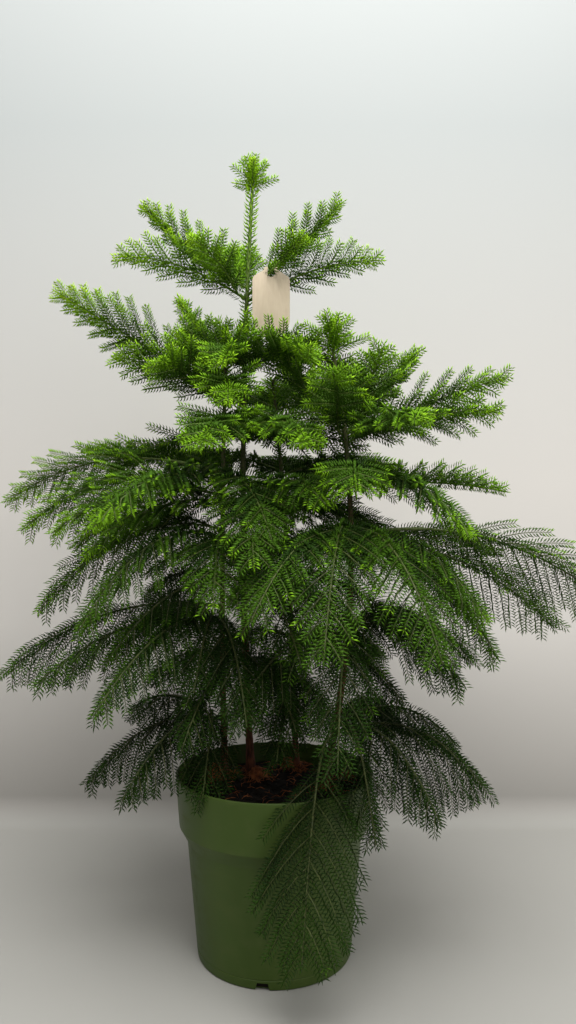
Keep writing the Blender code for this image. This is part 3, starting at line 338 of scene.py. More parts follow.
LIMBS = (
    Limb("tall_high_left", TALL, 0.919, 171, 0.157, 0.128, 0.050, 0.070, roll=-35),
    Limb("tall_low_left", TALL, 0.903, -167, 0.186, 0.046, 0.060, 0.070, roll=-40),
    Limb("tall_high_right", TALL, 0.921, 8, 0.138, 0.128, 0.055, 0.070, roll=35),
    Limb("tall_low_right", TALL, 0.900, -13, 0.194, 0.044, 0.055, 0.068, roll=40),
    Limb("tall_back", TALL, 0.912, 100, 0.140, 0.105, 0.050, 0.070, mass="tall_high_left"),
    Limb("tall_front", TALL, 0.908, -46, 0.115, 0.060, 0.030, 0.045, leafless=0.55),
    Limb("tall_front_left", TALL, 0.905, -122, 0.125, 0.050, 0.045, 0.060, roll=-20, mass="tall_low_left"),
    Limb("mid_front_left", TALL, 0.806, -98, 0.150, -0.022, 0.030, 0.085, roll=-25),
    Limb("mid_front_right", TALL, 0.800, -58, 0.175, -0.012, 0.038, 0.085, roll=25),
    Limb("mid_back_left", TALL, 0.808, 137, 0.150, 0.125, 0.035, 0.060),
    Limb("mid_back_right", TALL, 0.802, 45, 0.150, 0.060, 0.050, 0.080, mass="mid_back_left"),
    Limb("mid_left", TALL, 0.804, -145, 0.130, 0.000, 0.035, 0.080, roll=-35, mass="mid_front_left"),
    Limb("mid_right", TALL, 0.798, -8, 0.170, -0.010, 0.045, 0.080, roll=30, mass="mid_front_right"),
    Limb("inner_front", TALL, 0.705, -66, 0.225, -0.030, 0.045, 0.100),
    Limb("inner_front_left", TALL, 0.702, -100, 0.230, -0.030, 0.045, 0.095, mass="inner_front"),
    Limb("inner_left", TALL, 0.692, 168, 0.210, -0.045, 0.030, 0.090, roll=-15, mass="inner_back_left"),
    Limb("inner_right", TALL, 0.690, 2, 0.170, 0.000, 0.035, 0.095, roll=35, mass="inner_front"),
    Limb("inner_back", TALL, 0.700, 62, 0.235, 0.010, 0.045, 0.095, mass="inner_back_left"),
    Limb("inner_back_left", TALL, 0.704, 112, 0.220, 0.030, 0.050, 0.090),
    Limb("core_front", TALL, 0.606, -84, 0.250, -0.070, 0.040, 0.100, mass="core_right"),
    Limb("core_high_front", TALL, 0.612, -62, 0.235, -0.005, 0.065, 0.095, mass="core_right"),
    Limb("core_right", TALL, 0.600, -10, 0.235, -0.050, 0.040, 0.100, roll=30),
    Limb("core_back", TALL, 0.604, 84, 0.280, -0.020, 0.040, 0.090, mass="core_right"),
    Limb("core_left", TALL, 0.608, -146, 0.235, -0.065, 0.040, 0.095, roll=-25, mass="core_right"),
    Limb("core_back_right", TALL, 0.598, 30, 0.220, -0.020, 0.040, 0.095, mass="core_right"),
    Limb("deep_front", TALL, 0.505, -70, 0.235, -0.090, 0.030, 0.095, mass="deep_left"),
    Limb("deep_left", TALL, 0.500, -140, 0.220, -0.095, 0.030, 0.090),
    Limb("deep_back_left", TALL, 0.508, 140, 0.220, -0.050, 0.030, 0.090, mass="deep_left"),
    Limb("deep_right", TALL, 0.512, -14, 0.215, -0.060, 0.030, 0.090, roll=30, mass="deep_left"),
    Limb("deep_front_right", TALL, 0.498, -40, 0.235, -0.075, 0.030, 0.095, roll=20, mass="deep_left"),
    Limb("under_front", TALL, 0.385, -110, 0.200, -0.075, 0.030, 0.085),
    Limb("under_front_right", TALL, 0.387, -68, 0.190, -0.060, 0.035, 0.090, mass="under_front"),
    Limb("under_left", TALL, 0.385, 148, 0.190, -0.050, 0.030, 0.085, mass="under_front"),
    Limb("under_right", TALL, 0.385, -46, 0.180, -0.070, 0.030, 0.090, mass="under_front"),
    Limb("left_long", LEFT, 0.772, 171, 0.258, 0.155, 0.080, 0.095, roll=-45, leafless=0.2),
    Limb("left_low", LEFT, 0.756, -162, 0.155, 0.056, 0.050, 0.085, roll=-35),
    Limb("left_back", LEFT, 0.766, 118, 0.170, 0.130, 0.060, 0.085),
    Limb("left_front", LEFT, 0.762, -84, 0.165, -0.030, 0.035, 0.085),
    Limb("left_front_left", LEFT, 0.758, -128, 0.135, 0.035, 0.040, 0.085, roll=-20, mass="left_low"),
    Limb("wide_back_left", LEFT, 0.650, 147, 0.290, 0.045, 0.050, 0.085, tilt=25, leafless=0.2),
    Limb("wide_left", LEFT, 0.655, 177, 0.318, -0.043, 0.060, 0.088, roll=-35, bare=0.25),
    Limb("wide_front_left", LEFT, 0.640, -121, 0.260, -0.060, 0.040, 0.100, roll=-15),
    Limb("middle_left", LEFT, 0.622, -153, 0.242, -0.052, 0.040, 0.100, roll=-30),
    Limb("wide_low_left", LEFT, 0.634, -167, 0.275, -0.060, 0.055, 0.095, roll=-30, mass="middle_left"),
    Limb("wide_back", LEFT, 0.660, 108, 0.270, 0.030, 0.050, 0.090, mass="wide_back_left"),
    Limb("middle_inner", LEFT, 0.632, -70, 0.225, -0.075, 0.040, 0.095, mass="wide_front_left"),
    Limb("arched_left", LEFT, 0.575, -165, 0.255, -0.112, 0.040, 0.100, roll=-35),
    Limb("arched_back_left", LEFT, 0.580, 155, 0.270, -0.040, 0.050, 0.095, roll=-30, mass="arched_left"),
    Limb("arched_front_left", LEFT, 0.568, -125, 0.265, -0.110, 0.040, 0.100, roll=-15, mass="middle_front"),
    Limb("middle_front", LEFT, 0.560, -88, 0.240, -0.070, 0.030, 0.095),
    Limb("lower_left", LEFT, 0.464, -175, 0.310, -0.096, 0.030, 0.100, tilt=-38, roll=-50, bare=0.25),
    Limb("lower_front_left", LEFT, 0.444, -121, 0.260, -0.085, 0.030, 0.095, roll=-15, mass="lower_middle_left"),
    Limb("lower_back_left", LEFT, 0.440, 125, 0.270, -0.035, 0.040, 0.085, mass="lower_middle_left"),
    Limb("lower_front", LEFT, 0.440, -78, 0.220, -0.095, 0.030, 0.095, mass="lower_middle_left"),
    Limb("lower_inner", LEFT, 0.434, -98, 0.165, -0.060, 0.035, 0.090, mass="lower_middle_left"),
    Limb("lower_middle_left", LEFT, 0.448, -148, 0.270, -0.070, 0.030, 0.095, roll=-30),
    Limb("lowest_left", LEFT, 0.302, -171, 0.195, -0.085, 0.030, 0.080, roll=-40),
    Limb("lowest_front_left", LEFT, 0.305, -128, 0.190, -0.070, 0.035, 0.085, roll=-20, mass="lowest_left"),
    Limb("lowest_inner_left", LEFT, 0.302, -95, 0.160, -0.060, 0.035, 0.085, mass="lowest_left"),
    Limb("lowest_middle", BACK, 0.335, -97, 0.190, -0.050, 0.035, 0.090, mass="back_deep_right"),
    Limb("lowest_back_left", LEFT, 0.310, 140, 0.210, -0.030, 0.040, 0.085, mass="lowest_left"),
    Limb("right_up_left", RIGHT, 0.702, -165, 0.105, 0.140, 0.055, 0.085, roll=-20),
    Limb("right_up_front", RIGHT, 0.702, -68, 0.110, 0.105, 0.060, 0.080, mass="right_side"),
    Limb("right_up_back", RIGHT, 0.702, 130, 0.130, 0.120, 0.060, 0.085, mass="right_up"),
    Limb("right_up", RIGHT, 0.706, 31, 0.125, 0.125, 0.065, 0.090, roll=25),
    Limb("right_up_inner", RIGHT, 0.712, 60, 0.110, 0.120, 0.060, 0.085, mass="right_up"),
    Limb("right_side", RIGHT, 0.694, -2, 0.222, 0.088, 0.065, 0.090, roll=35),
    Limb("right_side_low", RIGHT, 0.684, -20, 0.205, 0.045, 0.050, 0.090, roll=20, mass="right_side"),
    Limb("right_front", RIGHT, 0.688, -63, 0.175, 0.022, 0.040, 0.090, mass="right_side"),
    Limb("right_top_front", RIGHT, 0.696, -100, 0.150, 0.070, 0.060, 0.085, mass="right_up_left"),
    Limb("right_back", RIGHT, 0.700, 88, 0.150, 0.130, 0.065, 0.085, mass="right_up"),
    Limb("comb_right", RIGHT, 0.636, 31, 0.296, -0.006, 0.015, 0.080, tilt=48, leafless=0.2),
    Limb("comb_front", RIGHT, 0.632, -52, 0.210, -0.060, 0.040, 0.095, roll=20),
    Limb("comb_side", RIGHT, 0.640, -92, 0.200, -0.020, 0.040, 0.090, mass="comb_front"),
    Limb("comb_left", RIGHT, 0.628, -140, 0.150, -0.045, 0.025, 0.095, mass="comb_front"),
    Limb("comb_back", RIGHT, 0.638, 100, 0.270, 0.020, 0.040, 0.090, mass="comb_right"),
    Limb("long_right", RIGHT, 0.568, -2, 0.365, -0.106, 0.040, 0.115, roll=50, bare=0.25),
    Limb("long_right_low", RIGHT, 0.530, 11, 0.305, -0.100, 0.035, 0.105, roll=50, mass="broad_back_right"),
    Limb("front_left", RIGHT, 0.565, -118, 0.270, -0.085, 0.040, 0.105, roll=-10),
    Limb("front_inner_left", RIGHT, 0.552, -138, 0.215, -0.070, 0.045, 0.095, mass="front_left"),
    Limb("front_right", RIGHT, 0.558, -74, 0.275, -0.120, 0.050, 0.105, roll=10, mass="front_left"),
    Limb("broad_front", RIGHT, 0.565, -100, 0.290, -0.120, 0.060, 0.105, mass="front_left"),
    Limb("broad_front_right", RIGHT, 0.556, -50, 0.225, -0.085, 0.045, 0.105, roll=20),
    Limb("drooping_right", RIGHT, 0.552, -32, 0.205, -0.136, 0.030, 0.095, roll=25, mass="broad_front_right"),
    Limb("broad_back_right", RIGHT, 0.550, 32, 0.270, -0.014, 0.045, 0.100, roll=30),
    Limb("middle_back", RIGHT, 0.562, 72, 0.280, -0.030, 0.040, 0.090, mass="broad_back_right"),
    Limb("dark_right", RIGHT, 0.446, 17, 0.190, -0.060, 0.030, 0.100, roll=30),
    Limb("dark_front_right", RIGHT, 0.442, -38, 0.175, -0.060, 0.035, 0.095, roll=20, mass="low_front"),
    Limb("dark_back_right", RIGHT, 0.450, 55, 0.250, -0.040, 0.035, 0.095, mass="dark_right"),
    Limb("dark_left", RIGHT, 0.436, -140, 0.200, -0.095, 0.030, 0.090, mass="low_front"),
    Limb("low_front", RIGHT, 0.440, -97, 0.232, -0.125, 0.040, 0.095),
    Limb("lowest_right", RIGHT, 0.300, -3, 0.205, -0.075, 0.045, 0.115, roll=45, leafless=0.2),
    Limb("lowest_front_right", RIGHT, 0.300, -43, 0.170, -0.085, 0.045, 0.085, roll=20, mass="lowest_right"),
    Limb("lowest_front", RIGHT, 0.300, -74, 0.150, -0.100, 0.060, 0.080, mass="lowest_right"),
    Limb("hanging_front", RIGHT, 0.286, -103, 0.205, -0.200, 0.070, 0.128, tilt=0, bare=0.24, leafless=0.06),
    Limb("lowest_back", RIGHT, 0.306, 62, 0.230, -0.050, 0.055, 0.085),
    Limb("lowest_back_right", RIGHT, 0.306, 30, 0.220, -0.060, 0.050, 0.085, mass="lowest_back"),
    Limb("back_left", BACK, 0.742, 120, 0.180, 0.040, 0.050, 0.090, mass="back_top"),
    Limb("back_right", BACK, 0.736, 35, 0.180, 0.050, 0.050, 0.090, mass="back_top"),
    Limb("back_top", BACK, 0.746, 80, 0.170, 0.070, 0.050, 0.085),
    Limb("back_mid_left", BACK, 0.660, 140, 0.240, 0.020, 0.050, 0.090, mass="back_mid"),
    Limb("back_mid", BACK, 0.656, 88, 0.270, 0.020, 0.045, 0.090),
    Limb("back_mid_right", BACK, 0.654, 38, 0.240, 0.010, 0.050, 0.090),
    Limb("back_mid_front", BACK, 0.650, -25, 0.200, -0.010, 0.040, 0.090, mass="back_mid_right"),
    Limb("back_low_left", BACK, 0.545, 112, 0.260, -0.040, 0.040, 0.090),
    Limb("back_low_right", BACK, 0.548, 56, 0.260, -0.040, 0.040, 0.090),
    Limb("back_low_side", BACK, 0.540, 10, 0.220, -0.040, 0.040, 0.090, roll=30, mass="back_low_right"),
    Limb("back_low_far_left", BACK, 0.542, 165, 0.230, -0.040, 0.040, 0.090, mass="back_low_left"),
    Limb("back_deep_left", BACK, 0.410, 128, 0.220, -0.050, 0.030, 0.085, mass="back_deep_right"),
    Limb("back_deep_right", BACK, 0.405, 45, 0.220, -0.050, 0.030, 0.085),
    Limb("back_deep_front", BACK, 0.405, -42, 0.200, -0.060, 0.030, 0.085, mass="back_deep_right"),
)

# Needle colours, linear, from the oldest and most shaded sprays to the youngest tips. The ladder is partly painted
# light: painted shade darkens the low and inner sprays and painted light brightens the high outer ones, besides the
# real greening of young tips
NEEDLE_COLOURS = (
    ("needles_shaded", "old_needles", (0.012, 0.034, 0.004)),
    ("needles_old", "old_needles", (0.021, 0.058, 0.0045)),
    ("needles_deep", "middle_needles", (0.054, 0.133, 0.006)),
    ("needles_leaf", "middle_needles", (0.165, 0.350, 0.009)),
    ("needles_fresh", "young_needles", (0.300, 0.560, 0.014)),
    ("needles_lime", "young_needles", (0.440, 0.700, 0.022)),
)


# Shader maths

class Shade:
    """One socket of a material. Arithmetic on it adds Math nodes, and node() adds any other."""

    def __init__(self, tree, socket):
        self.tree = tree
        self.socket = socket

    def node(self, kind, settings=None, inputs=None, output=0):
        made = self.tree.nodes.new(kind)
        for name, value in (settings or {}).items():
            if name == "stops":
                self.set_stops(made.color_ramp, value)
            else:
                setattr(made, name, value)
        for key, value in (inputs or {}).items():
            if isinstance(value, Shade):
                self.tree.links.new(value.socket, made.inputs[key])
            else:
                made.inputs[key].default_value = value
        return Shade(self.tree, made.outputs[output])

    @staticmethod
    def set_stops(ramp, stops):
        while len(ramp.elements) < len(stops):
            ramp.elements.new(0.5)
        for element, (place, grey) in zip(ramp.elements, stops):
            element.position = place
            element.color = (grey, grey, grey, 1)

    def maths(self, operation, first, second):
        return self.node("ShaderNodeMath", {"operation": operation}, {0: first, 1: second})

    def __add__(self, other):
        return self.maths("ADD", self, other)

    __radd__ = __add__

    def __mul__(self, other):
        return self.maths("MULTIPLY", self, other)

    __rmul__ = __mul__

    def __sub__(self, other):
        return self.maths("SUBTRACT", self, other)

    def __rsub__(self, other):
        return self.maths("SUBTRACT", other, self)

    def ramp(self, low, high):
        """0 below low, 1 above high."""
        return self.node("ShaderNodeMapRange", {"clamp": True}, {"Value": self, "From Min": low, "From Max": high})

    def noise(self, scale, detail=4, stretch=(1, 1, 1)):
        """Noise at this place, with a scale in cells a metre."""
        moved = self.node("ShaderNodeMapping", None, {"Vector": self, "Scale": stretch})
        return self.node("ShaderNodeTexNoise", None, {"Vector": moved, "Scale": scale, "Detail": detail}, "Fac")

    def cells(self, scale):
        """The distance to the nearest cell's centre, with a scale in cells a metre."""
        return self.node("ShaderNodeTexVoronoi", None, {"Vector": self, "Scale": scale}, "Distance")

    def height(self):
        return self.node("ShaderNodeSeparateXYZ", None, {0: self}, "Z")

    def between(self, first, second):
        """A colour from first to second by this value."""
        if not isinstance(first, Shade):
            first = (*first, 1)
        if not isinstance(second, Shade):
            second = (*second, 1)
        return self.node("ShaderNodeMix", {"data_type": "RGBA"}, {0: self, 6: first, 7: second}, 2)

    def bump(self, strength, distance):
        inputs = {"Height": self, "Strength": strength, "Distance": distance}
        return self.node("ShaderNodeBump", None, inputs, "Normal")


SOCKETS = {"specular_ior_level": "Specular IOR Level"}


class Finish:
    """A Principled material that is filled in socket by socket."""

    def __init__(self, name):
        self.material = bpy.data.materials.new(name)
        self.material.use_nodes = True
        self.tree = self.material.node_tree
        self.shader = self.tree.nodes["Principled BSDF"]

    def place(self):
        return Shade(self.tree, self.tree.nodes.new("ShaderNodeTexCoord").outputs["Object"])

    def set(self, **sockets):
        for name, value in sockets.items():
            socket = self.shader.inputs[SOCKETS.get(name, name.replace("_", " ").title())]
            if isinstance(value, Shade):
                self.tree.links.new(value.socket, socket)
            else:
                socket.default_value = (*value, 1) if isinstance(value, tuple) else value
        return self.material


def pot_finish():
    """Muted green moulded plastic, with faint flow marks, dust and scuffs."""
    finish = Finish("pot_plastic")
    place = finish.place()
    flow = place.noise(9, 3, (1, 1, 0.35))
    dust = place.noise(55, 5).ramp(0.48, 0.75)
    scuff = place.noise(16, 6, (1, 1, 6)).ramp(0.60, 0.78)
    green = flow.ramp(0.3, 0.7).between((0.044, 0.078, 0.012), (0.060, 0.100, 0.018))
    dusty = (dust * 0.18).between(green, (0.120, 0.135, 0.055))
    worn = (scuff * 0.18).between(dusty, (0.110, 0.140, 0.050))
    grain = place.noise(900, 2)
    return finish.set(
        base_color=worn,
        roughness=0.42 + dust * 0.16 + scuff * 0.10,
        specular_ior_level=0.20,
        normal=(grain + flow * 0.5).bump(0.12, 0.0006),
    )


def soil_finish():
    """Damp peat with browner crumbs, its browns darkened to near black as painted shade under the crown."""
    finish = Finish("potting_soil")
    place = finish.place()
    crumbs = place.cells(260)
    patches = place.noise(60, 6)
    brown = patches.ramp(0.42, 0.72).between((0.0025, 0.0020, 0.0015), (0.013, 0.008, 0.005))
    return finish.set(
        base_color=(crumbs.ramp(0.10, 0.45) * 0.5).between(brown, (0.006, 0.004, 0.003)),
        roughness=0.80 + patches * 0.18,
        specular_ior_level=0.15,
        normal=(patches + crumbs * 0.6).bump(0.9, 0.002),
    )


def fibre_finish():
    """Orange-brown coir strands."""
    finish = Finish("coir_fibre")
    place = finish.place()
    tone = place.noise(120, 3).ramp(0.35, 0.65)
    return finish.set(
        base_color=tone.between((0.140, 0.040, 0.012), (0.480, 0.160, 0.050)),
        roughness=0.85,
        normal=place.noise(1500, 2).bump(0.4, 0.0004),
    )


def stem_finish():
    """Brown bark at the foot, reddish above, olive in the crown and green at the leader."""
    finish = Finish("stem_bark")
    place = finish.place()
    height = place.height() + (place.noise(14, 4) - 0.5) * 0.10
    flecks = place.noise(260, 5, (1, 1, 0.22))
    brown = flecks.ramp(0.35, 0.68).between((0.055, 0.016, 0.007), (0.230, 0.080, 0.036))
    olive = flecks.ramp(0.30, 0.70).between((0.045, 0.055, 0.014), (0.115, 0.125, 0.036))
    green = flecks.ramp(0.30, 0.70).between((0.105, 0.190, 0.024), (0.200, 0.310, 0.050))
    lower = height.ramp(0.46, 0.66).between(brown, olive)
    return finish.set(
        base_color=height.ramp(0.80, 0.98).between(lower, green),
        roughness=0.62 + flecks * 0.25,
        normal=(flecks + place.noise(700, 3, (1, 1, 0.3)) * 0.5).bump(0.7, 0.0012),
    )


def twig_finish():
    """Olive twig skin, darker and browner on the lower twigs and greener and brighter on the upper ones."""
    finish = Finish("twig_skin")
    place = finish.place()
    tone = place.noise(180, 4, (1, 1, 0.5)).ramp(0.35, 0.66)
    low = tone.between((0.042, 0.062, 0.012), (0.090, 0.110, 0.024))
    high = tone.between((0.110, 0.200, 0.020), (0.190, 0.300, 0.035))
    return finish.set(
        base_color=place.height().ramp(0.50, 0.88).between(low, high),
        roughness=0.60,
        normal=place.noise(900, 3).bump(0.5, 0.0005),
    )


def card_finish():
    """Beige fibre card with a faint lengthwise grain and soft mottling."""
    finish = Finish("card")
    place = finish.place()
    grain = place.noise(420, 5, (1, 1, 0.12))
    mottle = place.noise(70, 4)
    beige = grain.ramp(0.20, 0.85).between((0.590, 0.485, 0.355), (0.660, 0.560, 0.425))
    return finish.set(
        base_color=(mottle.ramp(0.5, 0.8) * 0.25).between(beige, (0.510, 0.420, 0.310)),
        roughness=0.72 + mottle * 0.18,
        normal=(grain + mottle * 0.3).bump(0.15, 0.0004),
    )


def needle_finish(name, colour):
    """One plain needle green, so that its sprays keep their colour."""
    return Finish(name).set(base_color=colour, roughness=0.55, specular_ior_level=0.12)


def backdrop_finish():
    """Greys that change with height as painted light and shade: painted shade along the foot of the wall behind the
    pot, the wall palest above it and painted darker and cooler towards its top, and clear when seen from behind.
    """
    finish = Finish("backdrop")
    place = finish.place()
    height = place.height()
    # These height ramps are painted light and shade on the wall, not colours of the wall itself
    wall = height.ramp(0.65, 1.35).between((0.700, 0.675, 0.650), (0.465, 0.492, 0.498))
    low_wall = height.ramp(0.05, 0.38).between((0.400, 0.385, 0.365), wall)
    return finish.set(
        base_color=height.ramp(0.005, 0.03).between((0.405, 0.400, 0.378), low_wall),
        roughness=0.85,
        alpha=1 - place.node("ShaderNodeNewGeometry", output="Backfacing"),
    )


# Edit-mode helpers

def start_from(add, **where):
    """Deselects everything, adds a primitive and returns its object in edit mode."""
    bpy.ops.object.select_all(action="DESELECT")
    add(**where)
    made = bpy.context.object
    bpy.ops.object.mode_set(mode="EDIT")
    return made


def finish_edit(made, name, finish):
    """Leaves edit mode with outward normals, and names and finishes the piece."""
    bpy.ops.mesh.select_all(action="SELECT")
    bpy.ops.mesh.normals_make_consistent(inside=False)
    bpy.ops.object.mode_set(mode="OBJECT")
    bpy.ops.object.transform_apply(location=True, rotation=True, scale=True)
    made.name = name
    made.data.materials.clear()
    made.data.materials.append(finish)
    return made


def select_only(made):
    bpy.ops.object.select_all(action="DESELECT")
    made.select_set(True)
    bpy.context.view_layer.objects.active = made


def apply_all(made):
    """Applies a piece's modifiers."""
    select_only(made)
    for modifier in list(made.modifiers):
        bpy.ops.object.modifier_apply(modifier=modifier.name)


def cut_with(made, cutter):
    """Takes a cutter's shape out of a piece, and removes the cutter."""
    cut = made.modifiers.new("Cut", "BOOLEAN")
    cut.operation = "DIFFERENCE"
    cut.object = cutter
    apply_all(made)
    bpy.data.objects.remove(cutter, do_unlink=True)


def smooth(made, degrees=EDGE_ANGLE):
    select_only(made)
    bpy.ops.object.shade_smooth_by_angle(angle=math.radians(degrees))


def link_new(name, data):
    """Adds an object of its own to the scene."""
    made = bpy.data.objects.new(name, data)
    bpy.context.scene.collection.objects.link(made)
    return made


def turned_shell(name, profile, steps, finish):
    """A ring pushed along a profile of (radius, height) points, with both of its ends filled."""
    radius, height = profile[0]
    made = start_from(bpy.ops.mesh.primitive_circle_add, vertices=steps, radius=radius, location=(0, 0, height))
    bpy.ops.mesh.select_all(action="SELECT")
    for next_radius, next_height in profile[1:]:
        bpy.ops.mesh.extrude_region_move(TRANSFORM_OT_translate={"value": (0, 0, next_height - height)})
        ratio = next_radius / radius
        bpy.ops.transform.resize(value=(ratio, ratio, 1), center_override=(0, 0, next_height))
        radius, height = next_radius, next_height
    bpy.ops.mesh.select_all(action="SELECT")
    bpy.ops.mesh.fill_holes(sides=0)
    return finish_edit(made, name, finish)


# Pot, soil and tag

def wall_radius(height, inset):
    """The pot's outer radius at a height, less an inset."""
    heights = (0, POT_SHOULDER, POT_COLLAR_FOOT, POT_HEIGHT)
    radii = (POT_FOOT_RADIUS, POT_SHOULDER_RADIUS, POT_COLLAR_RADIUS, POT_RIM_RADIUS)
    return float(np.interp(height, heights, radii)) - inset


def wall_points(heights, inset=0):
    """Points of the pot's profile at these heights of its wall."""
    return [(wall_radius(height, inset), height) for height in heights]


def arc_profile(centre, radius, start, end, steps):
    """Points of a profile along an arc, in degrees."""
    turns = [math.radians(start + (end - start) * i / steps) for i in range(steps + 1)]
    return [(centre[0] + radius * math.cos(turn), centre[1] + radius * math.sin(turn)) for turn in turns]


def make_pot():
    """The pot's shell with a rolled rim, a soft shoulder, a moulded band and the drain notches."""
    half = POT_WALL / 2
    inside = wall_points((POT_FLOOR, POT_SHOULDER, POT_COLLAR_FOOT), POT_WALL)
    rim = arc_profile((POT_RIM_RADIUS - POT_RIM_ROUND, POT_HEIGHT - POT_RIM_ROUND), POT_RIM_ROUND, 180, 0, 8)
    collar = wall_points(COLLAR_FACE) + arc_profile(COLLAR_ROUND_CENTRE, COLLAR_ROUND, 0, -50, 4)
    band = [(wall_radius(BAND_HEIGHT + at, inset), BAND_HEIGHT + rise) for at, rise, inset in BAND_POINTS]
    foot = arc_profile((POT_FOOT_RADIUS - POT_FOOT_ROUND, POT_FOOT_ROUND), POT_FOOT_ROUND, 0, -90, 6)
    profile = [(half, POT_FLOOR), *inside, *rim, *collar, *SHOULDER_POINTS, *band, *foot, (half, 0)]
    pot = turned_shell("pot_shell", profile, POT_STEPS, pot_finish())
    for i in range(NOTCH_COUNT):
        cut_with(pot, notch_block(NOTCH_HEADING + i * 360 / NOTCH_COUNT))
    smooth(pot)
    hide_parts("pot")
    return pot


def notch_block(heading):
    """A block across the pot's foot at a heading, narrower at its top."""
    turn = math.radians(heading)
    where = (POT_FOOT_RADIUS * math.cos(turn), POT_FOOT_RADIUS * math.sin(turn), 0)
    block = start_from(bpy.ops.mesh.primitive_cube_add, size=2, location=where, rotation=(0, 0, turn))
    bpy.ops.object.mode_set(mode="OBJECT")
    for point in block.data.vertices:
        width = NOTCH_TOP_WIDTH if point.co.z > 0 else NOTCH_WIDTH
        point.co = (point.co.x * NOTCH_DEPTH, point.co.y * width / 2, point.co.z * NOTCH_HEIGHT)
    return block


def mound_places():
    """The low mounds: one about each stem's foot and one under each lump of fibre."""
    return [stem.foot[:2] for stem in STEMS.values()] + [plug[:2] for plug in PLUGS]


def soil_height(x, y):
    """The lumpy surface, with a low mound at each stem and plug, sinking a little at the wall."""
    rough = noise.fractal(Vector((x * SOIL_CELLS, y * SOIL_CELLS, SOIL_SLICE)), *SOIL_NOISE) * SOIL_LUMP
    mound = max(math.exp(-((x - px) ** 2 + (y - py) ** 2) / MOUND_RADIUS ** 2) for px, py in mound_places())
    edge = max(0, math.hypot(x, y) - SOIL_EDGE) / SOIL_EDGE_WIDTH
    return SOIL_TOP - SOIL_SINK + rough + mound * MOUND_HEIGHT - SOIL_EDGE_DROP * min(1, edge)


def make_plugs(finish):
    """Rounded lumps, roughened by noise, half sunk in the soil."""
    made = []
    for i, (x, y, radius, height) in enumerate(PLUGS):
        lump = start_from(bpy.ops.mesh.primitive_ico_sphere_add, subdivisions=5, radius=1)
        bpy.ops.object.mode_set(mode="OBJECT")
        foot = soil_height(x, y)
        for point in lump.data.vertices:
            across, back, up = point.co
            rough = noise.fractal(point.co * PLUG_CELLS + Vector((i * PLUG_APART, 0, 0)), *PLUG_NOISE)
            fuzz_place = Vector((across * FUZZ_CELLS, back * FUZZ_CELLS, up * FUZZ_CELLS_UP + i))
            grown = 1 + rough * PLUG_ROUGHNESS + noise.fractal(fuzz_place, *FUZZ_NOISE) * FUZZ
            point.co = (x + across * radius * grown, y + back * radius * grown, foot + up * height * grown)
        bpy.ops.object.mode_set(mode="EDIT")
        finish_edit(lump, f"fibre_plug_{i + 1}", finish)
        smooth(lump, ROUGH_ANGLE)
        made.append(lump)
    return made


def make_soil():
    """A turned block of peat whose rings are then raised and lowered in lumps."""
    wall = POT_WALL + SOIL_GAP
    floor = POT_FLOOR + SOIL_GAP
    side = wall_points((floor, POT_SHOULDER, POT_COLLAR_FOOT), wall)
    edge = wall_radius(SOIL_TOP, wall)
    rings = int(edge / SOIL_RING)
    top = [(edge * (1 - i / rings), SOIL_TOP) for i in range(rings)]
    soil = turned_shell("soil_peat", [(SOIL_CORE, floor), *side, *top], SOIL_STEPS, soil_finish())
    for point in soil.data.vertices:
        if point.co.z > SOIL_TOP - SOIL_SURFACE:
            point.co.z = soil_height(point.co.x, point.co.y)
    smooth(soil, ROUGH_ANGLE)
    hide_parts("soil")
    return soil


def make_tag():
    """A bare card with a round foot, flared shoulders and an open eye at its top, hung on the front twig."""
    half = TAG_WIDTH / 2
    card = start_from(bpy.ops.mesh.primitive_circle_add, vertices=TAG_POINTS, radius=half, fill_type="NGON")
    bpy.ops.object.mode_set(mode="OBJECT")
    for point in card.data.vertices:
        if point.co.y < -MERGE_DISTANCE:
            point.co.y -= TAG_HEIGHT / 2 - half
            continue
        share = 1 - abs(math.atan2(point.co.x, point.co.y)) / (math.pi / 2)
        point.co.x = math.copysign(np.interp(share, TAG_SHARES, TAG_SHOULDER_X), point.co.x)
        point.co.y = TAG_HEIGHT / 2 - TAG_SHOULDER_Y[-1] + np.interp(share, TAG_SHARES, TAG_SHOULDER_Y)
    thick = card.modifiers.new("Thickness", "SOLIDIFY")
    thick.thickness = TAG_THICKNESS
    thick.offset = 0
    apply_all(card)
    top = TAG_HEIGHT / 2
    eye_height = top - TAG_EYE_DROP
    bpy.ops.mesh.primitive_cylinder_add(vertices=TAG_EYE_POINTS, radius=TAG_EYE_RADIUS, depth=TAG_CUT,
                                        location=(0, eye_height, 0))
    cut_with(card, bpy.context.object)
    bpy.ops.mesh.primitive_cube_add(size=1, location=(0, top, 0), scale=(TAG_MOUTH, TAG_EYE_DROP * 2, TAG_CUT))
    cut_with(card, bpy.context.object)
    edge = card.modifiers.new("Worn edges", "BEVEL")
    edge.width = TAG_EDGE
    edge.segments = 2
    apply_all(card)
    limb = next(limb for limb in LIMBS if limb.name == TAG_LIMB)
    twig_radius = mix(SOLID_TWIG_RADII, TAG_PLACE / SOLID_TWIG_END)
    eye = Path(limb).place(TAG_PLACE) + Vector((0, 0, twig_radius + TAG_GAP - TAG_EYE_RADIUS))
    card.location = eye - Vector((0, 0, eye_height))
    card.rotation_euler = (math.radians(90), 0, math.radians(TAG_YAW))
    select_only(card)
    bpy.ops.object.transform_apply(location=True, rotation=True, scale=True)
    card.name = "tag_card"
    card.data.materials.append(card_finish())
    smooth(card)
    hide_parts("hang_tag")
    return card


# Values and lines of points

def mix(ends, share):
    """The value at a share of the way from the first end to the last."""
    return ends[0] + (ends[1] - ends[0]) * share


def unit(vectors):
    return vectors / np.linalg.norm(vectors, axis=1)[:, None]


def run_along(points):
    """The length of a line of points up to each of them."""
    return np.concatenate([[0], np.cumsum(np.linalg.norm(np.diff(points, axis=0), axis=1))])


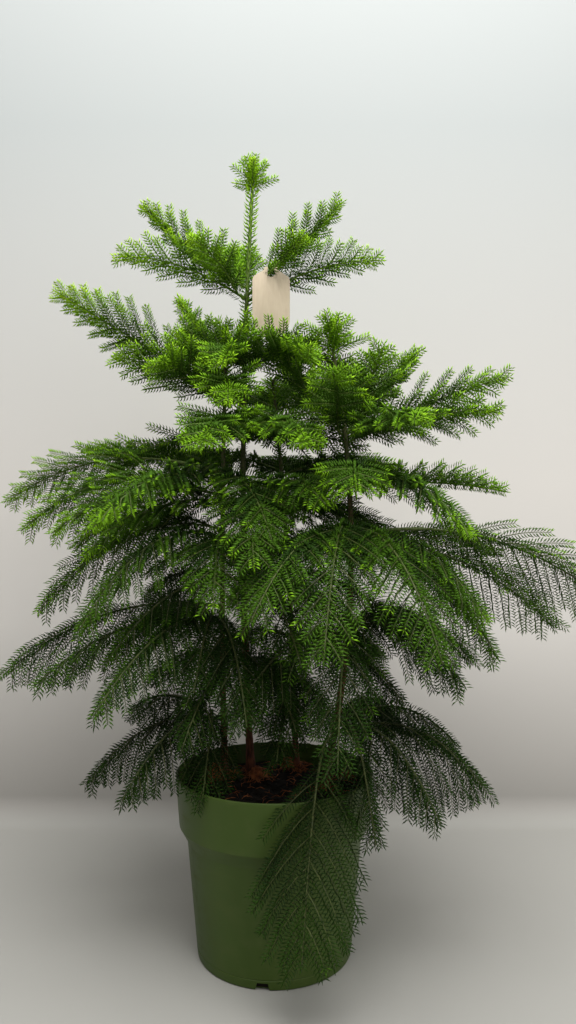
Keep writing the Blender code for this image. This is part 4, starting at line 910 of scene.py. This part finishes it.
def between_points(wanted, known, points):
    """The points of a line at the wanted places, from its points at the known places."""
    return np.stack([np.interp(wanted, known, points[:, axis]) for axis in range(3)], axis=1)


# Stem and limb axes, by the rule of the solids

def stem_centre(stem, height):
    """The point of a stem's axis at a height, on the quadratic through foot, waist and tip."""
    foot, waist, tip = (Vector(place) for place in stem[:3])
    foot_share = (height - waist.z) * (height - tip.z) / ((foot.z - waist.z) * (foot.z - tip.z))
    waist_share = (height - foot.z) * (height - tip.z) / ((waist.z - foot.z) * (waist.z - tip.z))
    tip_share = (height - foot.z) * (height - waist.z) / ((tip.z - foot.z) * (tip.z - waist.z))
    place = foot * foot_share + waist * waist_share + tip * tip_share
    return Vector((place.x, place.y, height))


def stem_radius(stem, height):
    """The stem's taper, with the root flare near the soil."""
    above = height - SOIL_TOP
    taper = mix((stem.root_radius, stem.tip_radius), above / (stem.tip[2] - SOIL_TOP))
    return taper * (1 + FLARE * math.exp(-max(0, above) / FLARE_HEIGHT))


class Path:
    """A limb's axis from its stem, or from the limb that it shares a mass with, to its tip."""

    def __init__(self, limb):
        stem = STEMS[limb.stem]
        heading = math.radians(limb.heading)
        outward = Vector((math.cos(heading), math.sin(heading), 0))
        root = stem_centre(stem, limb.height)
        seat = root + outward * (stem_radius(stem, limb.height) * LIMB_SEAT)
        if limb.mass:
            host = Path(next(other for other in LIMBS if other.name == limb.mass))
            seat = host.place(JOIN / host.length)
        bend = root + outward * limb.reach * LIMB_BEND + Vector((0, 0, limb.lift))
        tip = root + outward * limb.reach + Vector((0, 0, limb.rise))
        shares = np.linspace(0, 1, LIMB_POINTS)[:, None]
        self.points = (np.array(seat) * (1 - shares) ** 2 + np.array(bend) * 2 * shares * (1 - shares)
                       + np.array(tip) * shares ** 2)
        run = run_along(self.points)
        self.length = float(run[-1])
        self.shares = run / self.length

    def places(self, shares):
        return between_points(shares, self.shares, self.points)

    def place(self, share):
        return Vector(self.places(np.array([share]))[0])

    def tangent(self, share):
        ahead = self.place(min(1, share + TANGENT_STEP)) - self.place(max(0, share - TANGENT_STEP))
        return ahead.normalized()


def spray_plane(along, roll):
    """The directions across and above a limb, turned about it by a roll in degrees."""
    level = along.cross(Vector((0, 0, 1))).normalized()
    above = level.cross(along).normalized()
    turn = math.radians(roll)
    across = level * math.cos(turn) + above * math.sin(turn)
    return across, across.cross(along).normalized()


def by_tier(limb, values):
    """A value that changes from the oldest limbs below to the youngest above."""
    return float(np.interp(limb.height, TIER_HEIGHTS, values))


def spray_tilt(limb):
    """Sprays rise on the young limbs and hang on the old ones below, where a limb's own tilt doesn't say otherwise."""
    return by_tier(limb, SPRAY_TILTS) if limb.tilt is None else limb.tilt


def spray_length(limb, share):
    """The side sprays grow longer from the limb's root to its middle, then shorter to its tip."""
    return limb.spread * max(SPRAY_LEAST, min(1, SPRAY_START + SPRAY_GAIN * share) * (1 - share) ** 0.5)


# Growth: strands are twigs and branchlets, and needles stand on them

def by_height(height, values):
    """A value that changes from the old growth below to the young growth above."""
    return float(np.interp(height, PAIR_HEIGHTS, values))


class Growth:
    """Strands and needles gathered as arrays, to be joined by kind at the end."""

    def __init__(self):
        self.dice = np.random.default_rng(GROWTH_SEED)
        self.strands = {}
        self.needles = [[] for _ in NEEDLE_COLOURS]
        self.nodes = [set() for _ in NEEDLE_COLOURS]

    def strand(self, kind, points, start_radius, end_radius):
        radii = np.linspace(start_radius, end_radius, len(points))
        self.strands.setdefault(kind, []).append((points, radii))

    def wobble(self, most, count=None):
        """A random value, or a number of them, up to this far either way."""
        return self.dice.uniform(-most, most, count)

    def colour(self, places, youth):
        """The needle greens for places in the crown and for a youth from 0, inner, to 1, at the tip, painted lighter
        high up and darker low and inside as shade.
        """
        x, y, z = places.T
        light = np.clip((z - CROWN_FOOT) / CROWN_RISE, 0, 1)
        reach = np.minimum(1, np.hypot(x - CROWN_AXIS[0], y - CROWN_AXIS[1]) / CROWN_RADIUS)
        seen_youth = SHADED_YOUTH + (1 - SHADED_YOUTH) * light
        green = GREEN_LEAST + GREEN_BY_LIGHT * light + GREEN_BY_REACH * reach + GREEN_BY_YOUTH * youth * seen_youth
        green += self.wobble(GREEN_WOBBLE)
        return np.clip(green * len(NEEDLE_COLOURS), 0, len(NEEDLE_COLOURS) - 1).astype(int)

    def add_needles(self, node, points, youth, lengths, leans, pitch, normal, twist=0):
        """Needles in pairs along a strand.

        lengths and leans go from the strand's root to its tip, and leans are degrees from its direction. normal stands
        up from the spray. twist turns each pair on from the last, and without one they take turns in a fan across the
        spray and above and below it.
        """
        run = run_along(points)
        pairs = max(LEAST_PAIRS, int(run[-1] / pitch))
        pair = np.repeat(np.arange(pairs), 2)
        count = len(pair)
        shares = (pair + 0.5) / pairs
        roots = between_points(shares * run[-1], run, points)
        ahead = unit(between_points(shares * run[-1], run, np.gradient(points, axis=0)))
        side = unit(np.cross(ahead, np.array(normal)))
        above = np.cross(side, ahead)
        fan = FANS[int(points[0][2] > FAN_HEIGHT)]
        turns = (np.arange(count) % 2) * math.pi + pair * (twist or math.pi / fan) + self.wobble(FAN_WOBBLE, count)
        out = side * np.cos(turns)[:, None] + above * np.sin(turns)[:, None]
        lean = np.radians(mix(leans, shares) + self.wobble(LEAN_WOBBLE, count))
        way = ahead * np.cos(lean)[:, None] + out * np.sin(lean)[:, None]
        size = (mix(lengths, shares) * self.dice.uniform(*NEEDLE_RANGE, count))[:, None]
        middles = roots + way * (size * NEEDLE_MIDDLE) + out * (size * NEEDLE_BEND)
        tips = roots + way * size
        young = youth + (1 - youth) * np.clip((shares - TIP_START) / (1 - TIP_START), 0, 1) * TIP_YOUTH
        kinds = self.colour(roots, np.clip(young, 0, 1))
        for kind in np.unique(kinds):
            mine = kinds == kind
            self.needles[kind].append(np.stack([roots[mine], middles[mine], tips[mine]], axis=1))
            self.nodes[kind].add(node)

    def clothe(self, node, points, youth, height, normal):
        """Gives a spray's strand the needles of its height."""
        size = by_height(height, NEEDLE_LENGTHS)
        pitch = by_height(height, PAIR_PITCHES)
        self.add_needles(node, points, youth, (size, size * NEEDLE_TIP_SIZE), NEEDLE_LEANS, pitch, normal)

    def branchlet(self, node, root, way, length, curl, youth, normal):
        """A side spray: one curved strand and its needles."""
        shares = np.linspace(0, 1, BRANCHLET_POINTS)[:, None]
        points = np.array(root) + np.array(way) * shares * length + np.array((0, 0, curl * length)) * shares ** 2
        self.strand("branchlet", points, BRANCHLET_RADIUS, BRANCHLET_RADIUS * BRANCHLET_TAPER)
        self.clothe(node, points, youth, root[2], normal)


def mass_of(limb):
    return f"foliage_{limb.mass or limb.name}"


def grow_limb(growth, limb):
    """The limb's twig with its own needles, and two rows of branchlets, finer than the solid's."""
    path = Path(limb)
    node = mass_of(limb)
    start = limb.bare + (1 - limb.bare) * limb.leafless
    twig = path.places(np.linspace(limb.bare, TWIG_END, TWIG_POINTS))
    growth.strand("twig", twig, TWIG_ROOT_RADIUS, TWIG_TIP_RADIUS)
    leafy = path.places(np.linspace(max(limb.bare, LEAFY_START), 1, LEAFY_POINTS))
    growth.clothe(node, leafy, LEAFY_YOUTH, limb.height, spray_plane(path.tangent(0.5), limb.roll)[1])
    rows = max(LEAST_ROWS, round((1 - start) * path.length / by_height(limb.height, BRANCHLET_PITCHES)))
    overhang = by_height(limb.height, NEEDLE_LENGTHS) * NEEDLE_OVERHANG
    for row in range(rows):
        for side in (-1, 1):
            share = (row + ROW_PLACE + ROW_STAGGER * side) / rows
            place = mix((start, ROW_END), share)
            along = path.tangent(place)
            across, above = spray_plane(along, limb.roll)
            lean = math.radians(mix(BRANCHLET_LEANS, place) + growth.wobble(LEAN_WOBBLE))
            tilt = math.radians(spray_tilt(limb) + ROW_TILTS[row % 2] + growth.wobble(TILT_WOBBLE))
            out = across * side * math.cos(tilt) + above * math.sin(tilt)
            way = (along * math.cos(lean) + out * math.sin(lean)).normalized()
            length = spray_length(limb, share) * growth.dice.uniform(*BRANCHLET_RANGE) - overhang
            youth = max(0, share - YOUTH_START) * YOUTH_GAIN
            curl = by_tier(limb, SPRAY_CURLS) + growth.wobble(CURL_WOBBLE)
            growth.branchlet(node, path.place(place), way, length, curl, youth, above)


def grow_tuft(growth, name, stem_name, height, spread):
    """Branchlets round the leader's tip by the golden angle, shorter and steeper towards its top."""
    stem = STEMS[stem_name]
    foot = Vector(stem.tip)
    size = NEEDLE_LENGTHS[1]
    sizes = (size, size * NEEDLE_TIP_SIZE)
    overhang = size * NEEDLE_OVERHANG
    top = foot + Vector((0, 0, height - overhang))
    node = f"foliage_{name}_tuft"
    axis = np.linspace(np.array(foot), np.array(top), TUFT_POINTS)
    growth.strand("twig", axis, stem.tip_radius * TUFT_RADIUS, TWIG_TIP_RADIUS)
    growth.add_needles(node, axis, TUFT_TOP_YOUTH, sizes, TUFT_LEANS, TUFT_PITCH, BACKWARD, PAIR_TWIST)
    for i in range(TUFT_BRANCHLETS):
        share = i / (TUFT_BRANCHLETS - 1)
        turn = i * GOLDEN_ANGLE
        rise = math.radians(mix(TUFT_RISES, share) + growth.wobble(TUFT_RISE_WOBBLE))
        way = Vector((math.cos(turn) * math.cos(rise), math.sin(turn) * math.cos(rise), math.sin(rise)))
        above = way.cross(Vector((-math.sin(turn), math.cos(turn), 0)))
        length = spread * mix(TUFT_LENGTHS, share) * growth.dice.uniform(*TUFT_RANGE) - overhang
        root = foot.lerp(top, mix(TUFT_ROOTS, share))
        growth.branchlet(node, root, way, length, TUFT_CURL, TUFT_YOUTH, above)


def grow_stem_needles(growth, name, stem):
    """Needles on the stem's young part, longer and greener towards its leader."""
    heights = np.linspace(stem.leafy, stem.tip[2], STEM_NEEDLE_POINTS)
    points = np.array([stem_centre(stem, height) for height in heights])
    cut = int(len(points) * STEM_OLD_SHARE)
    for part, (youth, lengths, leans) in zip((points[:cut + 1], points[cut:]), STEM_NEEDLES):
        growth.add_needles(name, part, youth, lengths, leans, STEM_NEEDLE_PITCH, BACKWARD, PAIR_TWIST)


# Meshes from arrays

def mesh_from_arrays(name, points, triangles, finish):
    """A smooth piece made of an array of points and an array of the triangles between them."""
    mesh = bpy.data.meshes.new(name)
    mesh.vertices.add(len(points))
    mesh.vertices.foreach_set("co", np.ascontiguousarray(points, np.float32).ravel())
    mesh.loops.add(triangles.size)
    mesh.loops.foreach_set("vertex_index", np.ascontiguousarray(triangles, np.int32).ravel())
    mesh.polygons.add(len(triangles))
    mesh.polygons.foreach_set("loop_start", np.arange(0, triangles.size, 3, dtype=np.int32))
    mesh.polygons.foreach_set("use_smooth", np.ones(len(triangles), bool))
    mesh.update(calc_edges=True)
    mesh.validate()
    mesh.materials.append(finish)
    return link_new(name, mesh)


def needle_arrays(shapes):
    """Closed four-faced needles, bent and widest at the middle, with a point at both ends."""
    roots, middles, tips = shapes[:, 0], shapes[:, 1], shapes[:, 2]
    side = unit(np.cross(tips - roots, middles - roots))
    wide = side * np.interp(roots[:, 2:3], PAIR_HEIGHTS, NEEDLE_RADII)
    points = np.stack([roots, middles + wide, middles - wide, tips], axis=1).reshape(-1, 3)
    faces = np.array([(0, 1, 2), (3, 2, 1), (0, 3, 1), (0, 2, 3)])
    first = np.arange(len(shapes))[:, None, None] * 4
    return points, (first + faces).reshape(-1, 3)


def strand_arrays(strands, sides):
    """Closed tapered tubes along strands of points."""
    all_points = []
    all_faces = []
    first = 0
    turns = np.arange(sides) * math.tau / sides
    for points, radii in strands:
        ahead = unit(np.gradient(points, axis=0))
        guide = (0, 0, 1) if abs(ahead[0][2]) < STEEP_STRAND else BACKWARD
        side = unit(np.cross(ahead, guide))
        above = np.cross(side, ahead)
        ring = side[:, None] * np.cos(turns)[None, :, None] + above[:, None] * np.sin(turns)[None, :, None]
        tube = points[:, None] + ring * radii[:, None, None]
        rows = len(points)
        all_points.append(np.concatenate([tube.reshape(-1, 3), points[:1], points[-1:]]))
        for row in range(rows - 1):
            low = first + row * sides
            for i in range(sides):
                j = (i + 1) % sides
                all_faces.append((low + i, low + sides + j, low + j))
                all_faces.append((low + i, low + sides + i, low + sides + j))
        start, end = first + rows * sides, first + rows * sides + 1
        last = first + (rows - 1) * sides
        for i in range(sides):
            j = (i + 1) % sides
            all_faces.append((first + i, first + j, start))
            all_faces.append((last + j, last + i, end))
        first += rows * sides + 2
    return np.concatenate(all_points), np.array(all_faces)


def needle_pieces(growth):
    """The needles joined by colour, in pieces under the triangle limit."""
    made = []
    for (name, slot, colour), shapes, nodes in zip(NEEDLE_COLOURS, growth.needles, growth.nodes):
        if not shapes:
            continue
        finish = needle_finish(name, colour)
        shapes = np.concatenate(shapes)
        for i, some in enumerate(np.array_split(shapes, math.ceil(len(shapes) / NEEDLES_A_PIECE))):
            piece = mesh_from_arrays(f"{name}_{i + 1}", *needle_arrays(some), finish)
            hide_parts(*sorted(node for node in nodes if node.startswith("foliage")))
            made.append(piece)
    return made


# Stems and boughs with bark relief

def bark_relief(height, turn, radius):
    """Shallow fissures along the stem and the scars of old needles, as a share of the radius."""
    across = radius * BARK_CELLS
    place = Vector((math.cos(turn) * across, math.sin(turn) * across, height * BARK_CELLS_UP))
    fissures = noise.fractal(place, *BARK_NOISE) * FISSURE_DEPTH
    up, round_it, up_again, round_again = SCAR_WAVES
    scars = math.sin(height * up + turn * round_it) * math.sin(turn * round_again + height * up_again)
    return 1 + fissures + max(0, scars) * SCAR_DEPTH


def relief_tube(name, centres, radii, sides, finish):
    """A grid rolled round an axis, with its seam merged, its ends filled and the bark raised on it."""
    rows = len(centres)
    made = start_from(bpy.ops.mesh.primitive_grid_add, x_subdivisions=sides, y_subdivisions=rows - 1, size=1)
    bpy.ops.object.mode_set(mode="OBJECT")
    for point in made.data.vertices:
        row = round((point.co.y + 0.5) * (rows - 1))
        turn = (point.co.x + 0.5) * math.tau
        centre = centres[row]
        ahead = (centres[min(rows - 1, row + 1)] - centres[max(0, row - 1)]).normalized()
        guide = Vector(BACKWARD) if abs(ahead.z) > STEEP_BARK else Vector((0, 0, 1))
        side = ahead.cross(guide).normalized()
        above = side.cross(ahead)
        radius = radii[row] * bark_relief(row * BARK_ROW, turn, radii[row])
        point.co = centre + (side * math.cos(turn) + above * math.sin(turn)) * radius
    bpy.ops.object.mode_set(mode="EDIT")
    bpy.ops.mesh.select_all(action="SELECT")
    bpy.ops.mesh.remove_doubles(threshold=MERGE_DISTANCE)
    bpy.ops.mesh.fill_holes(sides=0)
    finish_edit(made, name, finish)
    smooth(made, ROUGH_ANGLE)
    return made


def make_stems():
    finish = stem_finish()
    made = []
    for name, stem in STEMS.items():
        heights = np.linspace(SOIL_TOP - STEM_SINK, stem.tip[2], STEM_ROWS)
        centres = [stem_centre(stem, height) for height in heights]
        radii = [stem_radius(stem, height) for height in heights]
        piece = relief_tube(f"{name}_bark", centres, radii, STEM_SIDES, finish)
        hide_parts(name)
        made.append(piece)
    return made


def make_boughs(finish):
    """The bare inner lengths of the limbs that have one."""
    made = []
    radii = np.linspace(BOUGH_ROOT_RADIUS, BOUGH_TIP_RADIUS, BOUGH_ROWS)
    for limb in LIMBS:
        if limb.bare:
            centres = [Vector(place) for place in Path(limb).places(np.linspace(0, limb.bare, BOUGH_ROWS))]
            piece = relief_tube(f"bough_{limb.name}_bark", centres, radii, BOUGH_SIDES, finish)
            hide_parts(f"bough_{limb.name}")
            made.append(piece)
    return made


def make_fibres(finish):
    """Coir strands: thick about each plug, and a few loose over the soil."""
    dice = np.random.default_rng(FIBRE_SEED)
    strands = []
    spots = [(place, PLUG_SPREAD) for place in mound_places() for _ in range(PLUG_STRANDS)]
    spots += [((0, 0), LOOSE_SPREAD)] * LOOSE_STRANDS
    shares = np.linspace(-0.5, 0.5, FIBRE_POINTS)
    for place, spread in spots:
        root = np.array(place) + dice.normal(0, spread, 2)
        if math.hypot(*root) > FIBRE_LIMIT:
            continue
        turn = dice.uniform(0, math.tau)
        length = dice.uniform(*FIBRE_LENGTHS)
        bow = dice.uniform(-FIBRE_BOW, FIBRE_BOW) * length
        along = (math.cos(turn), math.sin(turn))
        across = (-math.sin(turn), math.cos(turn))
        flat = root + np.outer(shares * length, along) + np.outer(bow * shares ** 2, across)
        lift = dice.uniform(*FIBRE_ARCHES) * (1 - 2 * np.abs(shares)) + FIBRE_LIFT
        points = np.array([(x, y, soil_height(x, y) + up) for (x, y), up in zip(flat, lift)])
        strands.append((points, np.full(FIBRE_POINTS, dice.uniform(*FIBRE_RADII))))
    piece = mesh_from_arrays("coir_strands", *strand_arrays(strands, FIBRE_SIDES), finish)
    return piece


def make_twigs(growth, finish):
    """The strands of all sprays, in two pieces."""
    masses = sorted({mass_of(limb) for limb in LIMBS} | {f"foliage_{name}_tuft" for name in TUFTS})
    twigs = mesh_from_arrays("twigs", *strand_arrays(growth.strands["twig"], TWIG_SIDES), finish)
    thin = strand_arrays(growth.strands["branchlet"], BRANCHLET_SIDES)
    branchlets = mesh_from_arrays("branchlets", *thin, finish)
    for piece in (twigs, branchlets):
        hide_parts(*masses)
    return [twigs, branchlets]


# Camera, floor and light

def add_camera():
    camera = bpy.data.cameras.new("camera")
    camera.lens = LENS_MM
    camera.sensor_width = SENSOR_MM
    holder = link_new("camera", camera)
    holder.location = CAMERA_PLACE
    holder.rotation_euler = (math.radians(90), 0, 0)
    bpy.context.scene.camera = holder


def add_backdrop():
    """A pale floor that sweeps up into a wall close behind the plant, and shows from its front only."""
    backdrop = start_from(bpy.ops.mesh.primitive_plane_add, size=FLOOR_SIZE, location=FLOOR_PLACE)
    bpy.ops.mesh.select_all(action="DESELECT")
    bpy.ops.object.mode_set(mode="OBJECT")
    for edge in backdrop.data.edges:
        edge.select = all(backdrop.data.vertices[i].co.y > 0 for i in edge.vertices)
    bpy.ops.object.mode_set(mode="EDIT")
    step = SWEEP_RADIUS * math.radians(90) / SWEEP_STEPS
    turns = [math.radians(90 * (i + 0.5) / SWEEP_STEPS) for i in range(SWEEP_STEPS)]
    moves = [(0, step * math.cos(turn), step * math.sin(turn)) for turn in turns]
    for move in (*moves, (0, 0, WALL_HEIGHT)):
        bpy.ops.mesh.extrude_region_move(TRANSFORM_OT_translate={"value": move})
    finish_edit(backdrop, "backdrop", backdrop_finish())
    bpy.ops.object.mode_set(mode="EDIT")
    bpy.ops.mesh.select_all(action="SELECT")
    bpy.ops.mesh.flip_normals()
    bpy.ops.object.mode_set(mode="OBJECT")
    select_only(backdrop)
    bpy.ops.object.shade_smooth()


def add_light(name, place, size, watts):
    light = bpy.data.lights.new(name, "AREA")
    light.size = size
    light.energy = watts
    light.color = LIGHT_COLOUR
    holder = link_new(name, light)
    holder.location = place
    holder.rotation_euler = (Vector(LIGHT_TARGET) - Vector(place)).to_track_quat("-Z", "Y").to_euler()


def add_lights():
    for light in LIGHTS:
        add_light(*light)
    world = bpy.data.worlds.new("studio")
    world.use_nodes = True
    background = world.node_tree.nodes["Background"]
    background.inputs["Color"].default_value = WORLD_COLOUR
    background.inputs["Strength"].default_value = WORLD_STRENGTH
    bpy.context.scene.world = world
    bpy.context.scene.view_settings.view_transform = "Standard"


def main():
    add_camera()
    add_backdrop()
    add_lights()
    twig = twig_finish()
    fibre = fibre_finish()
    pieces = [make_pot(), make_soil(), make_tag(), make_fibres(fibre)]
    pieces += make_plugs(fibre)
    pieces += make_stems()
    pieces += make_boughs(twig)
    growth = Growth()
    for limb in LIMBS:
        grow_limb(growth, limb)
    for name, (stem_name, height, spread) in TUFTS.items():
        grow_tuft(growth, name, stem_name, height, spread)
    for name, stem in STEMS.items():
        grow_stem_needles(growth, name, stem)
    pieces += make_twigs(growth, twig)
    pieces += needle_pieces(growth)
    for piece in pieces:
        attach(piece, "root")


main()
